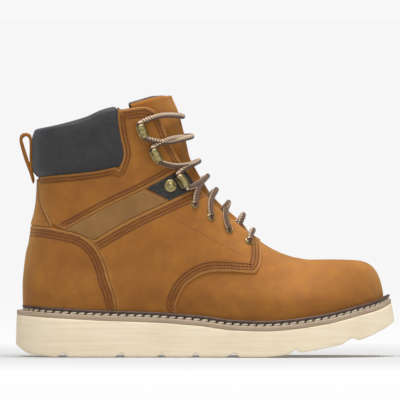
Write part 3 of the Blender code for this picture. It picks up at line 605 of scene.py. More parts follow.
def side_rib(side, x):
    base = upper_base(x)
    top = float(wall_edge(x))
    full = float(front_z(x))
    end = math.asin(min(1.0, ((top - base) / (full - base))) ** (SIDE_RISE / 2))
    turns = np.linspace(0, end, RIB_SAMPLES)
    heights = base + (full - base) * np.sin(turns) ** (2 / SIDE_RISE)
    heights[-1] = top
    half = body_half(side, np.full(RIB_SAMPLES, x), heights)
    points = np.stack([np.full(RIB_SAMPLES, x), center(x) + side * half, heights], axis=1)
    return evenly(points, RIB_ROWS)


def heel_rib(angle):
    top = 0.0
    x = back_x(to_z(0.84))
    for _ in range(3):
        top = float(wall_edge(x))
        x = heel_point(angle, top)[0]
    base = upper_base(heel_point(angle, upper_base(HEEL_X))[0])
    heights = np.linspace(base, top, RIB_SAMPLES)
    return evenly([heel_point(angle, z) for z in heights], RIB_ROWS)


def toe_rib(angle):
    return evenly([toe_point(angle, r) for r in np.linspace(0, 1, RIB_SAMPLES)], RIB_ROWS)


def side_stations():
    """Places of the side ribs: even, with more where the top edge turns."""
    even = np.linspace(HEEL_X, POLE_X, SIDE_STATIONS)
    corners = [to_x(a) for a in (0.254, 0.270, 0.286, 0.344, 0.361, THROAT_TOP, 0.390, 0.410, THROAT_END)]
    spacing = even[1] - even[0]
    kept = [x for x in even if min(abs(x - c) for c in corners) > 0.4 * spacing]
    return sorted(kept + corners)


def upper_ribs():
    """All ribs in one loop: heel, lateral side, toe, medial side."""
    stations = side_stations()
    fan = [90 * (i / FAN_STATIONS) for i in range(FAN_STATIONS)]
    ribs = [heel_rib(-angle) for angle in fan]
    ribs += [side_rib(LATERAL, x) for x in stations]
    ribs += [toe_rib(-angle) for angle in fan[:0:-1]]
    ribs += [toe_rib(angle) for angle in fan]
    ribs += [side_rib(MEDIAL, x) for x in stations[::-1]]
    ribs += [heel_rib(angle) for angle in fan[:0:-1]]
    return ribs


# A chart of the upper: t is the distance round from the back seam (lateral negative) and w the
# length up the leather, so that a step on the chart is a step of about that size on the boot.

CHART_COLUMNS = 150
CHART_ROWS = 140
CHART_X = np.linspace(HEEL_X, to_x(0.700), CHART_COLUMNS)


def chart_table(side):
    """Heights at even lengths up each column, and the first and last length of each column."""
    heights = np.zeros((CHART_COLUMNS, CHART_ROWS))
    first = np.zeros(CHART_COLUMNS)
    last = np.zeros(CHART_COLUMNS)
    even = np.linspace(0, 1, CHART_ROWS)
    for i, x in enumerate(CHART_X):
        base = float(upper_base(x))
        top = min(float(front_z(x)), 0.97 * BOOT_HEIGHT)
        full = float(front_z(x))
        end = math.asin(min(1.0, (top - base) / (full - base)) ** (SIDE_RISE / 2))
        z = base + (full - base) * np.sin(np.linspace(0, end, 500)) ** (2 / SIDE_RISE)
        half = body_half(side, np.full(len(z), x), z)
        length = np.concatenate([[0], np.cumsum(np.hypot(np.diff(z), np.diff(half)))])
        extra = (length - (z - base)) * ease(x, HEEL_X, HEEL_X + 0.04)
        w = z + extra
        first[i] = w[0]
        last[i] = w[-1]
        heights[i] = np.interp(w[0] + even * (w[-1] - w[0]), w, z)
    return heights, first, last


CHARTS = {side: chart_table(side) for side in (LATERAL, MEDIAL)}


def chart_height(side, x, w):
    """Height of a point of the chart, on one side."""
    heights, first, last = CHARTS[side]
    place = np.clip((x - CHART_X[0]) / (CHART_X[1] - CHART_X[0]), 0, CHART_COLUMNS - 1.001)
    i = place.astype(int)
    share = place - i
    low = first[i] * (1 - share) + first[i + 1] * share
    high = last[i] * (1 - share) + last[i + 1] * share
    level = (w - low) / (high - low)
    step = np.clip(level, 0, 1) * (CHART_ROWS - 1.001)
    j = step.astype(int)
    rest = step - j
    near = heights[i, j] * (1 - rest) + heights[i, j + 1] * rest
    far = heights[i + 1, j] * (1 - rest) + heights[i + 1, j + 1] * rest
    z = near * (1 - share) + far * share
    below = np.minimum(w - low, 0)
    return z + below


def surface(t, w):
    """Points of the upper by place on the chart."""
    t = np.asarray(t, dtype=float)
    w = np.asarray(w, dtype=float)
    away = np.abs(t)
    inner = t > 0
    x = HEEL_X + np.maximum(away - HEEL_ARC, 0)
    z = np.where(inner, chart_height(MEDIAL, x, w), chart_height(LATERAL, x, w))
    half = np.where(inner, body_half(MEDIAL, x, z), body_half(LATERAL, x, z))
    side = np.where(inner, 1.0, -1.0)
    flank = np.stack([x, center(x) + side * half, z], axis=-1)
    angle = np.minimum(away / HEEL_ARC, 1) * math.pi / 2
    depth = HEEL_X - back_x(w)
    half = np.where(inner, body_half(MEDIAL, x, w), body_half(LATERAL, x, w))
    share = (np.cos(angle) / depth) ** HEEL_ROUND + (np.sin(angle) / np.maximum(half, 1e-6)) ** HEEL_ROUND
    radius = share ** (-1 / HEEL_ROUND)
    heel = np.stack([HEEL_X - radius * np.cos(angle), side * radius * np.sin(angle), w], axis=-1)
    return np.where((away < HEEL_ARC)[..., None], heel, flank)


def surface_normals(t, w):
    step = 0.0004
    around = surface(t + step, w) - surface(t - step, w)
    upward = surface(t, w + step) - surface(t, w - step)
    normal = -np.cross(around, upward)
    size = np.linalg.norm(normal, axis=-1, keepdims=True)
    return normal / np.maximum(size, 1e-12)


def raised(t, w, out):
    """Points at a distance out from the surface."""
    t = np.asarray(t, dtype=float)
    w = np.asarray(w, dtype=float)
    return surface(t, w) + surface_normals(t, w) * np.asarray(out)[..., None]


def chart(side, points):
    """Side view points as places on the chart."""
    points = np.array(points, dtype=float)
    x, z = points[:, 0], points[:, 1]
    depth = HEEL_X - back_x(z)
    half = body_half(side, HEEL_X, z)
    share = np.clip((HEEL_X - x) / depth, 0, 1)
    across = half * (1 - share**HEEL_ROUND) ** (1 / HEEL_ROUND)
    angle = np.arctan2(across, share * depth)
    t = np.where(x < HEEL_X, HEEL_ARC * angle / (math.pi / 2), HEEL_ARC + x - HEEL_X)
    heights, first, last = CHARTS[side]
    w = z.copy()
    for k in range(len(points)):
        if x[k] <= HEEL_X:
            continue
        place = min((x[k] - CHART_X[0]) / (CHART_X[1] - CHART_X[0]), CHART_COLUMNS - 1.001)
        i = int(place)
        share_x = place - i
        column = heights[i] * (1 - share_x) + heights[i + 1] * share_x
        low = first[i] * (1 - share_x) + first[i + 1] * share_x
        high = last[i] * (1 - share_x) + last[i + 1] * share_x
        w[k] = np.interp(z[k], column, np.linspace(low, high, CHART_ROWS))
        w[k] += min(z[k] - column[0], 0)
    return np.stack([side * t, w], axis=1)


# Lines on the chart

def path_length(path):
    return np.concatenate([[0], np.cumsum(np.linalg.norm(np.diff(path, axis=0), axis=1))])


def spaced(path, spacing):
    """The same line with points about a spacing apart."""
    length = path_length(path)
    count = max(2, int(round(length[-1] / spacing)) + 1)
    wanted = np.linspace(0, length[-1], count)
    return np.stack([np.interp(wanted, length, path[:, k]) for k in range(path.shape[1])], axis=1)


def curved(points, spacing=0.0012):
    """A smooth line through points, at an even spacing."""
    points = np.array(points, dtype=float)
    length = path_length(points)
    fine = np.linspace(0, length[-1], max(4, int(length[-1] / spacing) + 1))
    tangent = np.gradient(points, length, axis=0)
    i = np.clip(np.searchsorted(length, fine, side="right") - 1, 0, len(length) - 2)
    step = (length[i + 1] - length[i])[:, None]
    s = ((fine - length[i]) / (length[i + 1] - length[i]))[:, None]
    return hermite(s, points[i], points[i + 1], step * tangent[i], step * tangent[i + 1])


def shifted(path, distance):
    """The line moved to its left by a distance."""
    tangent = np.gradient(path, axis=0)
    tangent /= np.maximum(np.linalg.norm(tangent, axis=1, keepdims=True), 1e-12)
    return path + np.stack([-tangent[:, 1], tangent[:, 0]], axis=1) * distance


def ring_area(ring):
    return 0.5 * np.sum(ring[:, 0] * np.roll(ring[:, 1], -1) - ring[:, 1] * np.roll(ring[:, 0], -1))


def inset_ring(ring, distance):
    """A closed anticlockwise ring drawn in by a distance."""
    before = ring - np.roll(ring, 1, axis=0)
    after = np.roll(ring, -1, axis=0) - ring
    before /= np.maximum(np.linalg.norm(before, axis=1, keepdims=True), 1e-12)
    after /= np.maximum(np.linalg.norm(after, axis=1, keepdims=True), 1e-12)
    tangent = before + after
    tangent /= np.maximum(np.linalg.norm(tangent, axis=1, keepdims=True), 1e-12)
    return ring + np.stack([-tangent[:, 1], tangent[:, 0]], axis=1) * distance


def inside_ring(points, ring):
    x = points[:, 0][:, None]
    y = points[:, 1][:, None]
    ax, ay = ring[:, 0], ring[:, 1]
    bx, by = np.roll(ax, -1), np.roll(ay, -1)
    crosses = (ay > y) != (by > y)
    at = ax + (y - ay) * (bx - ax) / np.where(by == ay, 1e-12, by - ay)
    return (crosses & (x < at)).sum(axis=1) % 2 == 1


def distance_to(points, path):
    """Smallest distance from each point to a line of short pieces."""
    best = np.full(len(points), 1e9)
    for a, b in zip(path[:-1], path[1:]):
        along = b - a
        size = max(float(along @ along), 1e-16)
        s = np.clip((points - a) @ along / size, 0, 1)
        gap = points - a - s[:, None] * along
        best = np.minimum(best, np.hypot(gap[:, 0], gap[:, 1]))
    return best


# Objects

def put(name, verts, faces, finish, smooth_shade=True):
    mesh = bpy.data.meshes.new(name)
    mesh.from_pydata([tuple(map(float, v)) for v in verts], [], [tuple(map(int, f)) for f in faces])
    obj = bpy.data.objects.new(name, mesh)
    bpy.context.scene.collection.objects.link(obj)
    for each in finish if isinstance(finish, (list, tuple)) else [finish]:
        mesh.materials.append(each)
    if smooth_shade:
        mesh.shade_smooth()
    return obj


def own(obj, slot, *nodes):
    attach(obj, "root")
    if nodes:
        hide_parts(*nodes)
    return obj


def grid(rows, closed=False):
    """Vertices and quads of a grid of points."""
    rows = np.asarray(rows, dtype=float)
    count, width = rows.shape[:2]
    faces = []
    for i in range(count if closed else count - 1):
        here = i * width
        there = (i + 1) % count * width
        for j in range(width - 1):
            faces.append((here + j, there + j, there + j + 1, here + j + 1))
    return rows.reshape(-1, 3), faces


def weld(obj, distance=1e-5):
    bm = bmesh.new()
    bm.from_mesh(obj.data)
    bmesh.ops.remove_doubles(bm, verts=bm.verts, dist=distance)
    bmesh.ops.recalc_face_normals(bm, faces=bm.faces)
    bm.to_mesh(obj.data)
    bm.free()
    return obj


def shell(obj, thickness, offset=-1, inner_slot=0, rim_slot=0):
    modifier = obj.modifiers.new("thickness", "SOLIDIFY")
    modifier.thickness = thickness
    modifier.offset = offset
    modifier.material_offset = inner_slot
    modifier.material_offset_rim = rim_slot


def soften(obj, width, segments=3, angle=35):
    modifier = obj.modifiers.new("soft_edges", "BEVEL")
    modifier.width = width
    modifier.segments = segments
    modifier.limit_method = "ANGLE"
    modifier.angle_limit = math.radians(angle)


def floats(obj, name, values):
    """A number at each vertex, for the material."""
    attribute = obj.data.attributes.new(name, "FLOAT", "POINT")
    attribute.data.foreach_set("value", np.asarray(values, dtype=np.float32))


def frame_at(origin, normal, up):
    """Matrix with Z along the normal and Y as near to up as it can be."""
    z_axis = Vector(normal).normalized()
    x_axis = Vector(up).cross(z_axis).normalized()
    y_axis = z_axis.cross(x_axis)
    turn = Matrix((x_axis, y_axis, z_axis)).transposed()
    return Matrix.Translation(Vector(origin)) @ turn.to_4x4()


# Panels of leather

PANEL_GRID = 0.0022
EDGE_SPACING = 0.0011
EDGE_ROUND = 0.0005
ROW_SPACING = 0.0025
TROUGH_DEPTH = 0.0003
STITCH_PITCH = 0.0029
STITCH_SHARE = 0.74
STITCH_RADIUS = 0.00036


def panel(name, outline, finish, seams=(), thickness=OVERLAY, swell=0.0):
    """A panel with a cut edge; seams are pairs of a stitched line and its number of rows."""
    ring = spaced(np.vstack([outline, outline[:1]]), EDGE_SPACING)[:-1]
    if ring_area(ring) < 0:
        ring = ring[::-1]
    inner = inset_ring(ring, 0.4 * EDGE_ROUND)
    crest = inset_ring(ring, 1.4 * EDGE_ROUND)
    low = ring.min(axis=0)
    high = ring.max(axis=0)
    points = []
    for k, height in enumerate(np.arange(low[1], high[1], PANEL_GRID * 0.87)):
        points += [(a + (k % 2) * PANEL_GRID / 2, height) for a in np.arange(low[0], high[0], PANEL_GRID)]
    points = np.array(points)
    points = points[inside_ring(points, crest)]
    points = points[distance_to(points, np.vstack([crest, crest[:1]])) > 0.5 * PANEL_GRID]
    flat = [Vector(p) for p in np.vstack([crest, points])]
    count = len(ring)
    filled = delaunay_2d_cdt(flat, [], [list(range(count))], 1, 1e-7)
    top = np.array([tuple(v) for v in filled[0]])
    place = {source: index for index, sources in enumerate(filled[3]) for source in sources}
    away = np.full(len(top), 1.0)
    rows = np.zeros(len(top))
    for line, number in seams:
        gap = distance_to(top, spaced(line, 0.003))
        rows = np.where(gap < away, number, rows)
        away = np.minimum(away, gap)
    width = (rows + 0.5) * ROW_SPACING
    dip = TROUGH_DEPTH * ease(width - away, 0.0, 0.002) * ease(away, 0.0, 0.002)
    edge_away = distance_to(top, np.vstack([ring, ring[:1]]))
    outs = thickness - dip + swell * ease(edge_away, 0.004, 0.022)
    verts = [raised(top[:, 0], top[:, 1], outs)]
    for loop, out in ((inner, 0.86 * thickness), (ring, 0.5 * thickness), (ring, -0.0004)):
        verts.append(raised(loop[:, 0], loop[:, 1], np.full(count, out)))
    faces = [tuple(f) for f in filled[2]]
    flat_count = len(faces)
    starts = len(top) + count * np.arange(3)
    for i in range(count):
        j = (i + 1) % count
        faces.append((place[i], starts[0] + i, starts[0] + j, place[j]))
        for a, b in ((starts[0], starts[1]), (starts[1], starts[2])):
            faces.append((a + i, b + i, b + j, a + j))
    obj = put(name, np.vstack(verts), faces, [finish, CUT_EDGE])
    obj.data.polygons.foreach_set("material_index", [0] * flat_count + [0, 1, 1] * count)
    plain = np.zeros(3 * count)
    floats(obj, "seam", np.concatenate([away, plain]))
    floats(obj, "rows", np.concatenate([rows, plain]))
    floats(obj, "stitched", np.concatenate([np.full(len(top), float(len(seams) > 0)), plain]))
    # rim: a painted highlight on the top face along each cut edge, where the lighter cut edge catches the
    # light
    floats(obj, "rim", np.concatenate([np.exp(-((edge_away / 0.0007) ** 2)), plain + 1]))
    return obj


# A stitch from end to end: place along it, girth, and height over the leather
STITCH_FORM = ((0.0, 0.35, -0.7), (0.18, 0.9, -0.1), (0.5, 1.0, 0.1), (0.82, 0.9, -0.1), (1.0, 0.35, -0.7))


class Stitches:
    """Short raised threads, gathered into one object."""

    def __init__(self):
        self.verts = []
        self.faces = []

    def add(self, start, end, normal, radius, sides=6):
        axis = end - start
        size = np.linalg.norm(axis)
        if size < 1e-6:
            return
        axis = axis / size
        across = np.cross(axis, normal)
        across /= np.linalg.norm(across)
        up = np.cross(across, axis)
        first = len(self.verts)
        turns = [2 * math.pi * k / sides for k in range(sides)]
        for s, girth, sink in STITCH_FORM:
            middle = start + axis * size * s + normal * radius * sink
            for a in turns:
                self.verts.append(middle + (across * math.cos(a) + up * math.sin(a)) * radius * girth)
        for ring in range(len(STITCH_FORM) - 1):
            for k in range(sides):
                a = first + ring * sides + k
                b = first + ring * sides + (k + 1) % sides
                self.faces.append((a, b, b + sides, a + sides))

    def row(self, path, distance, toward):
        """Stitches along a line of the chart, moved towards a place by a distance."""
        toward = np.array(toward)
        options = [shifted(path, sign * distance) for sign in (1, -1)]
        middle = len(path) // 2
        gaps = [np.linalg.norm(option[middle] - toward) for option in options]
        line = options[int(np.argmin(gaps))] if distance else path
        ends = spaced(line, STITCH_PITCH)
        level = OVERLAY - TROUGH_DEPTH + 0.3 * STITCH_RADIUS
        spots = raised(ends[:, 0], ends[:, 1], np.full(len(ends), level))
        normals = surface_normals(ends[:, 0], ends[:, 1])
        for i in range(len(ends) - 1):
            end = spots[i] + (spots[i + 1] - spots[i]) * STITCH_SHARE
            self.add(spots[i], end, normals[i], STITCH_RADIUS)

    def make(self, name, finish):
        return put(name, self.verts, self.faces, finish)


# Materials

def node(tree, kind, **values):
    """A shader node with its properties and its sockets set by name."""
    made = tree.nodes.new(kind)
    for key, value in values.items():
        if key in made.inputs:
            made.inputs[key].default_value = value
        elif key.replace("_", " ") in made.inputs:
            made.inputs[key.replace("_", " ")].default_value = value
        else:
            setattr(made, key, value)
    return made


def linear(red, green, blue):
    """A colour read off a screen, 0 to 255, as the shader's numbers."""
    shares = [c / 255 for c in (red, green, blue)]
    return tuple(c / 12.92 if c < 0.04045 else ((c + 0.055) / 1.055) ** 2.4 for c in shares) + (1,)


class Finish:
    """A material under construction."""

    def __init__(self, name, roughness, **shader_values):
        self.made = bpy.data.materials.new(name)
        self.made.use_nodes = True
        self.tree = self.made.node_tree
        self.shader = self.tree.nodes["Principled BSDF"]
        self.shader.inputs["Roughness"].default_value = roughness
        for key, value in shader_values.items():
            self.shader.inputs[key.replace("_", " ")].default_value = value
        self.place = self.tree.nodes.new("ShaderNodeTexCoord").outputs["Object"]
        self.color = None

    def join(self, out, into):
        self.tree.links.new(out, into)

    def scaled(self, x, y, z):
        mapping = node(self.tree, "ShaderNodeMapping", Scale=(x, y, z))
        self.join(self.place, mapping.inputs["Vector"])
        return mapping.outputs["Vector"]

    def noise(self, scale, detail=3.0, roughness=0.55, place=None):
        made = node(self.tree, "ShaderNodeTexNoise", Scale=scale, Detail=detail, Roughness=roughness)
        self.join(place or self.place, made.inputs["Vector"])
        return made.outputs["Fac"]

    def cells(self, scale, feature="F1", place=None):
        made = node(self.tree, "ShaderNodeTexVoronoi", feature=feature, Scale=scale)
        self.join(place or self.place, made.inputs["Vector"])
        return made.outputs["Distance"]

    def attribute(self, name):
        return node(self.tree, "ShaderNodeAttribute", attribute_name=name).outputs["Fac"]

    def math(self, operation, first, second=0.5):
        made = node(self.tree, "ShaderNodeMath", operation=operation)
        for value, socket in ((first, made.inputs[0]), (second, made.inputs[1])):
            if isinstance(value, (int, float)):
                socket.default_value = value
            else:
                self.join(value, socket)
        return made.outputs[0]

    def stretch(self, value, low, high, to_low=0.0, to_high=1.0):
        made = node(self.tree, "ShaderNodeMapRange")
        for socket, number in zip(list(made.inputs)[1:5], (low, high, to_low, to_high)):
            socket.default_value = number
        self.join(value, made.inputs[0])
        return made.outputs[0]

    def mix(self, share, first, second):
        made = node(self.tree, "ShaderNodeMix", data_type="RGBA")
        self.join(share, made.inputs[0])
        for value, socket in ((first, made.inputs[6]), (second, made.inputs[7])):
            if isinstance(value, tuple):
                socket.default_value = value
            else:
                self.join(value, socket)
        return made.outputs[2]

    def seam_rows(self):
        """The stitched rows, and the field around them, from each point's distance to the seam."""
        away = self.attribute("seam")
        turns = self.math("MULTIPLY", away, 2 * math.pi / ROW_SPACING)
        wave = self.stretch(self.math("COSINE", turns), 0.35, 1.0)
        limit = self.math("MULTIPLY", self.math("ADD", self.attribute("rows"), 0.5), ROW_SPACING)
        near = self.math("MULTIPLY", self.math("LESS_THAN", away, limit), self.attribute("stitched"))
        field = self.math("MULTIPLY", near, self.math("GREATER_THAN", away, 0.5 * ROW_SPACING))
        return self.math("MULTIPLY", wave, field), field

    def finish(self, color, heights=(), rough=None):
        """Sets colour, roughness and bump; heights are pairs of a height and its size in metres."""
        if isinstance(color, tuple):
            self.shader.inputs["Base Color"].default_value = color
        else:
            self.join(color, self.shader.inputs["Base Color"])
        normal = None
        for height, size in heights:
            bump = node(self.tree, "ShaderNodeBump", Strength=1.0, Distance=size)
            self.join(height, bump.inputs["Height"])
            if normal is not None:
                self.join(normal, bump.inputs["Normal"])
            normal = bump.outputs["Normal"]
        if normal is not None:
            self.join(normal, self.shader.inputs["Normal"])
        if rough is not None:
            self.join(rough, self.shader.inputs["Roughness"])
        return self.made


def nubuck(name, light, middle, dark, seam):
    """Brushed leather: soft clouds of tone, fine nap, darker where it is stitched, and a painted highlight
    along the cut edges.
    """
    look = Finish(
        name, 0.82, Specular_IOR_Level=0.28,
        Sheen_Weight=0.30, Sheen_Roughness=0.50, Sheen_Tint=(0.95, 0.70, 0.30, 1),
    )
    clouds = look.stretch(look.noise(24, 3, 0.55), 0.32, 0.68)
    patches = look.stretch(look.noise(95, 4, 0.62), 0.34, 0.70)
    nap = look.noise(1500, 3, 0.65)
    color = look.mix(clouds, middle, light)
    color = look.mix(look.stretch(patches, 0.0, 1.0, 0.42, 0.0), color, dark)
    color = look.mix(look.stretch(nap, 0.42, 0.62, 0.22, 0.0), color, dark)
    groove, field = look.seam_rows()
    color = look.mix(look.math("MULTIPLY", field, 0.30), color, seam)
    color = look.mix(look.math("MULTIPLY", groove, 0.32), color, seam)
    # rim mixes in a painted highlight along the panels' cut edges
    color = look.mix(look.math("MULTIPLY", look.attribute("rim"), 0.55), color, linear(196, 146, 86))
    rough = look.stretch(patches, 0.0, 1.0, 0.74, 0.90)
    sunk = look.math("SUBTRACT", 1.0, groove)
    return look.finish(color, ((sunk, 0.0004), (patches, 0.00012), (nap, 0.00010)), rough)


def smooth_leather(name, light, dark, roughness, size=0.00008):
    look = Finish(name, roughness, Specular_IOR_Level=0.4)
    clouds = look.stretch(look.noise(60, 4, 0.6), 0.3, 0.7)
    grain = look.cells(1100)
    color = look.mix(clouds, dark, light)
    color = look.mix(look.stretch(grain, 0.0, 0.25, 0.25, 0.0), color, dark)
    return look.finish(color, ((grain, size), (clouds, 0.0001)))


def pebbled(name, light, dark):
    look = Finish(name, 0.42, Specular_IOR_Level=0.5)
    pebbles = look.stretch(look.cells(620), 0.05, 0.55)
    color = look.mix(pebbles, dark, light)
    return look.finish(color, ((look.math("SUBTRACT", 1.0, pebbles), 0.0005),))


def padding_cloth(name, light, dark):
    look = Finish(
        name, 0.62, Specular_IOR_Level=0.35,
        Sheen_Weight=0.12, Sheen_Roughness=0.4, Sheen_Tint=(0.75, 0.8, 1.0, 1),
    )
    wrinkles = look.noise(150, 5, 0.6)
    grain = look.cells(1500)
    color = look.mix(look.stretch(wrinkles, 0.35, 0.65), dark, light)
    # painted shade: darker where the pad dips into its seams at the lower edge and the front end
    color = look.mix(look.stretch(look.attribute("seam_shade"), 0.0, 1.0, 0.0, 0.75), color, dark)
    return look.finish(color, ((wrinkles, 0.0004), (grain, 0.00010)))


def foam_rubber(name, light, dark, streak):
    """Light sole rubber with faint level streaks."""
    look = Finish(name, 0.68, Specular_IOR_Level=0.3)
    level = look.noise(1, 4, 0.6, look.scaled(18, 18, 420))
    fine = look.noise(1300, 2, 0.5)
    clouds = look.noise(40, 3, 0.6)
    color = look.mix(look.stretch(level, 0.40, 0.66, 0.0, 0.55), light, dark)
    color = look.mix(look.stretch(clouds, 0.45, 0.75, 0.0, 0.45), color, dark)
    return look.finish(color, ((level, streak), (fine, 0.00006)))


def plain_rough(name, light, dark, roughness, scale=500, size=0.00015, specular=0.3):
    look = Finish(name, roughness, Specular_IOR_Level=specular)
    spots = look.noise(scale, 3, 0.6)
    clouds = look.noise(70, 3, 0.6)
    color = look.mix(look.stretch(spots, 0.35, 0.65), dark, light)
    color = look.mix(look.stretch(clouds, 0.4, 0.7, 0.0, 0.4), color, dark)
    return look.finish(color, ((spots, size),))


def antique_brass(name):
    look = Finish(name, 0.34, Metallic=1.0)
    tarnish = look.noise(380, 4, 0.65)
    color = look.mix(look.stretch(tarnish, 0.40, 0.62), linear(184, 170, 118), linear(130, 114, 72))
    rough = look.stretch(tarnish, 0.3, 0.7, 0.26, 0.50)
    return look.finish(color, ((tarnish, 0.00005),), rough)


def woven_lace(name):
    """Round braid: slanting ribs both ways, and cream flecks in the brown."""
    look = Finish(name, 0.78, Sheen_Weight=0.2, Sheen_Roughness=0.5)
    uv = node(look.tree, "ShaderNodeUVMap", uv_map="braid").outputs["UV"]
    parts = node(look.tree, "ShaderNodeSeparateXYZ")
    look.join(uv, parts.inputs[0])
    along = parts.outputs[0]
    around = parts.outputs[1]
    rising = look.math("SINE", look.math("ADD", along, around))
    falling = look.math("SINE", look.math("SUBTRACT", along, around))
    ribs = look.math("MULTIPLY", rising, falling)
    lines = look.stretch(look.math("COSINE", around), -0.15, 0.35)
    fleck = look.math("MULTIPLY", lines, look.stretch(rising, -0.35, 0.25))
    ground = look.mix(look.stretch(ribs, -0.6, 0.8), linear(58, 36, 24), linear(118, 78, 48))
    color = look.mix(fleck, ground, linear(236, 208, 172))
    return look.finish(color, ((ribs, 0.0004),))


def thread(name, color, dark):
    look = Finish(name, 0.6)
    twist = look.noise(2200, 2, 0.5)
    return look.finish(look.mix(look.stretch(twist, 0.35, 0.65), dark, color), ((twist, 0.00008),))


LEATHER = nubuck(
    "wheat_nubuck", linear(176, 116, 48), linear(158, 99, 39), linear(126, 75, 28), linear(92, 42, 20)
)
CUT_EDGE = plain_rough("cut_edge", linear(206, 158, 96), linear(160, 110, 58), 0.9)
STRIP = smooth_leather("olive_strip", linear(150, 108, 56), linear(134, 94, 46), 0.62)
PATCH = pebbled("black_pebble", linear(30, 27, 24), linear(62, 57, 50))
LINING = plain_rough("lining", linear(120, 86, 56), linear(96, 66, 42), 0.9)
PAD = padding_cloth("collar_cloth", linear(57, 57, 58), linear(49, 49, 50))
PAD_LINING = plain_rough("collar_lining", linear(60, 56, 54), linear(38, 36, 36), 0.9)
BINDING = smooth_leather("binding", linear(96, 80, 68), linear(60, 50, 44), 0.6)
CREAM = foam_rubber("cream_wedge", linear(254, 239, 210), linear(239, 219, 186), 0.00025)
TAUPE = foam_rubber("taupe_strip", linear(190, 168, 144), linear(160, 138, 114), 0.0003)
WELT_BROWN = plain_rough("welt_brown", linear(92, 66, 50), linear(58, 40, 30), 0.5, 300, 0.0001, 0.5)
BRASS = antique_brass("antique_brass")
SHADE = plain_rough("eyelet_shade", linear(40, 26, 18), linear(22, 15, 11), 0.9)
LACE = woven_lace("braided_lace")
SEAM_THREAD = thread("seam_thread", linear(104, 50, 28), linear(66, 30, 16))
WELT_THREAD = thread("welt_thread", linear(242, 234, 214), linear(196, 182, 158))
INSOLE_TAN = plain_rough("insole_tan", linear(170, 130, 88), linear(134, 98, 62), 0.85)


# Outlines of the panels, from the same tables as the solids

def throat_points(start, end, count):
    stations = np.linspace(to_x(start), to_x(end), count)
    return np.stack([stations, top_edge(stations)], axis=1)


def throat_at(points):
    """Where a line in the side view first meets the throat's edge."""
    beyond = [z > float(top_edge(x)) for x, z in points]
    last = beyond.index(True) if True in beyond else len(points) - 1
    return points[: last + 1], to_along(points[last][0])


def along_edge(shape, start=0, end=None):
    return curved(np.array(side_points(shape))[start:end], 0.001)


def between(line, start, end):
    """The points of a line that lie between two places along the boot."""
    return line[(line[:, 0] > to_x(start)) & (line[:, 0] < to_x(end))]


EYESTAY_ROW = table(
    "along height",
    (0.420, 0.511),
    (0.446, 0.494),
    (0.482, 0.465),
    (0.510, 0.442),
    (0.547, 0.415),
    (0.575, 0.394),
    (0.602, 0.370),
)
quarter_top, quarter_corner = throat_at(along_edge(QUARTER_TOP, 0, 6))
panel_low, panel_corner = throat_at(along_edge(PANEL_LOW, 1))
counter_edge = along_edge(COUNTER_EDGE)
quarter_front = along_edge(QUARTER_FRONT)
counter_start = np.argmin(np.abs(counter_edge[:, 0] - to_x(0.187)))
SPLIT_LOW = to_x(0.401)
SPLIT_HIGH = to_x(0.339)
STAY_START = 0.047
WELT_OVERLAP = 0.0012


def welt_points(start, end, count=60):
    stations = np.linspace(start, end, count)
    return np.stack([stations, welt_top(stations) - WELT_OVERLAP], axis=1)


def quarter_ring(side):
    rear = counter_edge[counter_start:] + AHEAD
    throat = throat_points(quarter_corner, THROAT_END - 0.0006, 90)
    bottom = welt_points(quarter_front[-1, 0], rear[-1, 0])
    outline = np.vstack([quarter_top, throat, quarter_front, bottom, rear[::-1]])
    return chart(side, outline)


def shaft_ring(side):
    throat = throat_points(panel_corner, THROAT_TOP, 60)
    corner = along_edge(TOP_EDGE, 4, 11)[::-1]
    front = along_edge(PAD_FRONT)[::-1] + AHEAD
    corner = corner[corner[:, 0] > front[0, 0] + 0.001]
    low = along_edge(PAD_LOW)[::-1] - ABOVE
    low = low[(low[:, 0] < front[-1, 0] - 0.001) & (low[:, 0] > to_x(0.066))]
    stay = along_edge(STAY_EDGE) + AHEAD
    outline = np.vstack([panel_low, throat, corner, front, low, stay[2:]])
    return chart(side, outline)


def strip_ring(side):
    heel = between(counter_edge, 0.133, 0.186)
    under = quarter_top[quarter_top[:, 0] < SPLIT_LOW] + ABOVE
    over = panel_low[panel_low[:, 0] < SPLIT_HIGH] - ABOVE
    return chart(side, np.vstack([heel + ABOVE, under, over[::-1]]))


def patch_ring(side):
    under = quarter_top[quarter_top[:, 0] > SPLIT_LOW] + ABOVE
    over = panel_low[panel_low[:, 0] > SPLIT_HIGH] - ABOVE
    throat = throat_points(quarter_corner, panel_corner, 20)[1:-1]
    return chart(side, np.vstack([under[:-1], throat, over[:-1][::-1]]))


def both_sides(points):
    """A line from the lateral side round the back to the medial side."""
    return np.vstack([chart(LATERAL, points[::-1]), chart(MEDIAL, points)[1:]])


def counter_ring():
    edge = both_sides(between(counter_edge, STAY_START, 1.0))
    ends = np.linspace(edge[-1, 0], edge[0, 0], 120)
    x = surface(ends, np.full(120, 0.042))[:, 0]
    bottom = np.stack([ends, welt_top(x) - WELT_OVERLAP], axis=1)
    return np.vstack([edge, bottom])


def stay_ring():
    stay = along_edge(STAY_EDGE)
    low = between(counter_edge, STAY_START, 0.097) + ABOVE
    lateral = chart(LATERAL, np.vstack([stay, low[::-1]]))
    medial = chart(MEDIAL, np.vstack([low, stay[::-1]]))
    return np.vstack([lateral, medial])


# Leather

def make_skin():
    verts, faces = grid(upper_ribs(), closed=True)
    skin = weld(put("vamp_and_lining", verts, faces, [LEATHER, LINING, CUT_EDGE]), 2e-5)
    shell(skin, WALL, -1, 1, 2)
    own(skin, "leather", "upper")


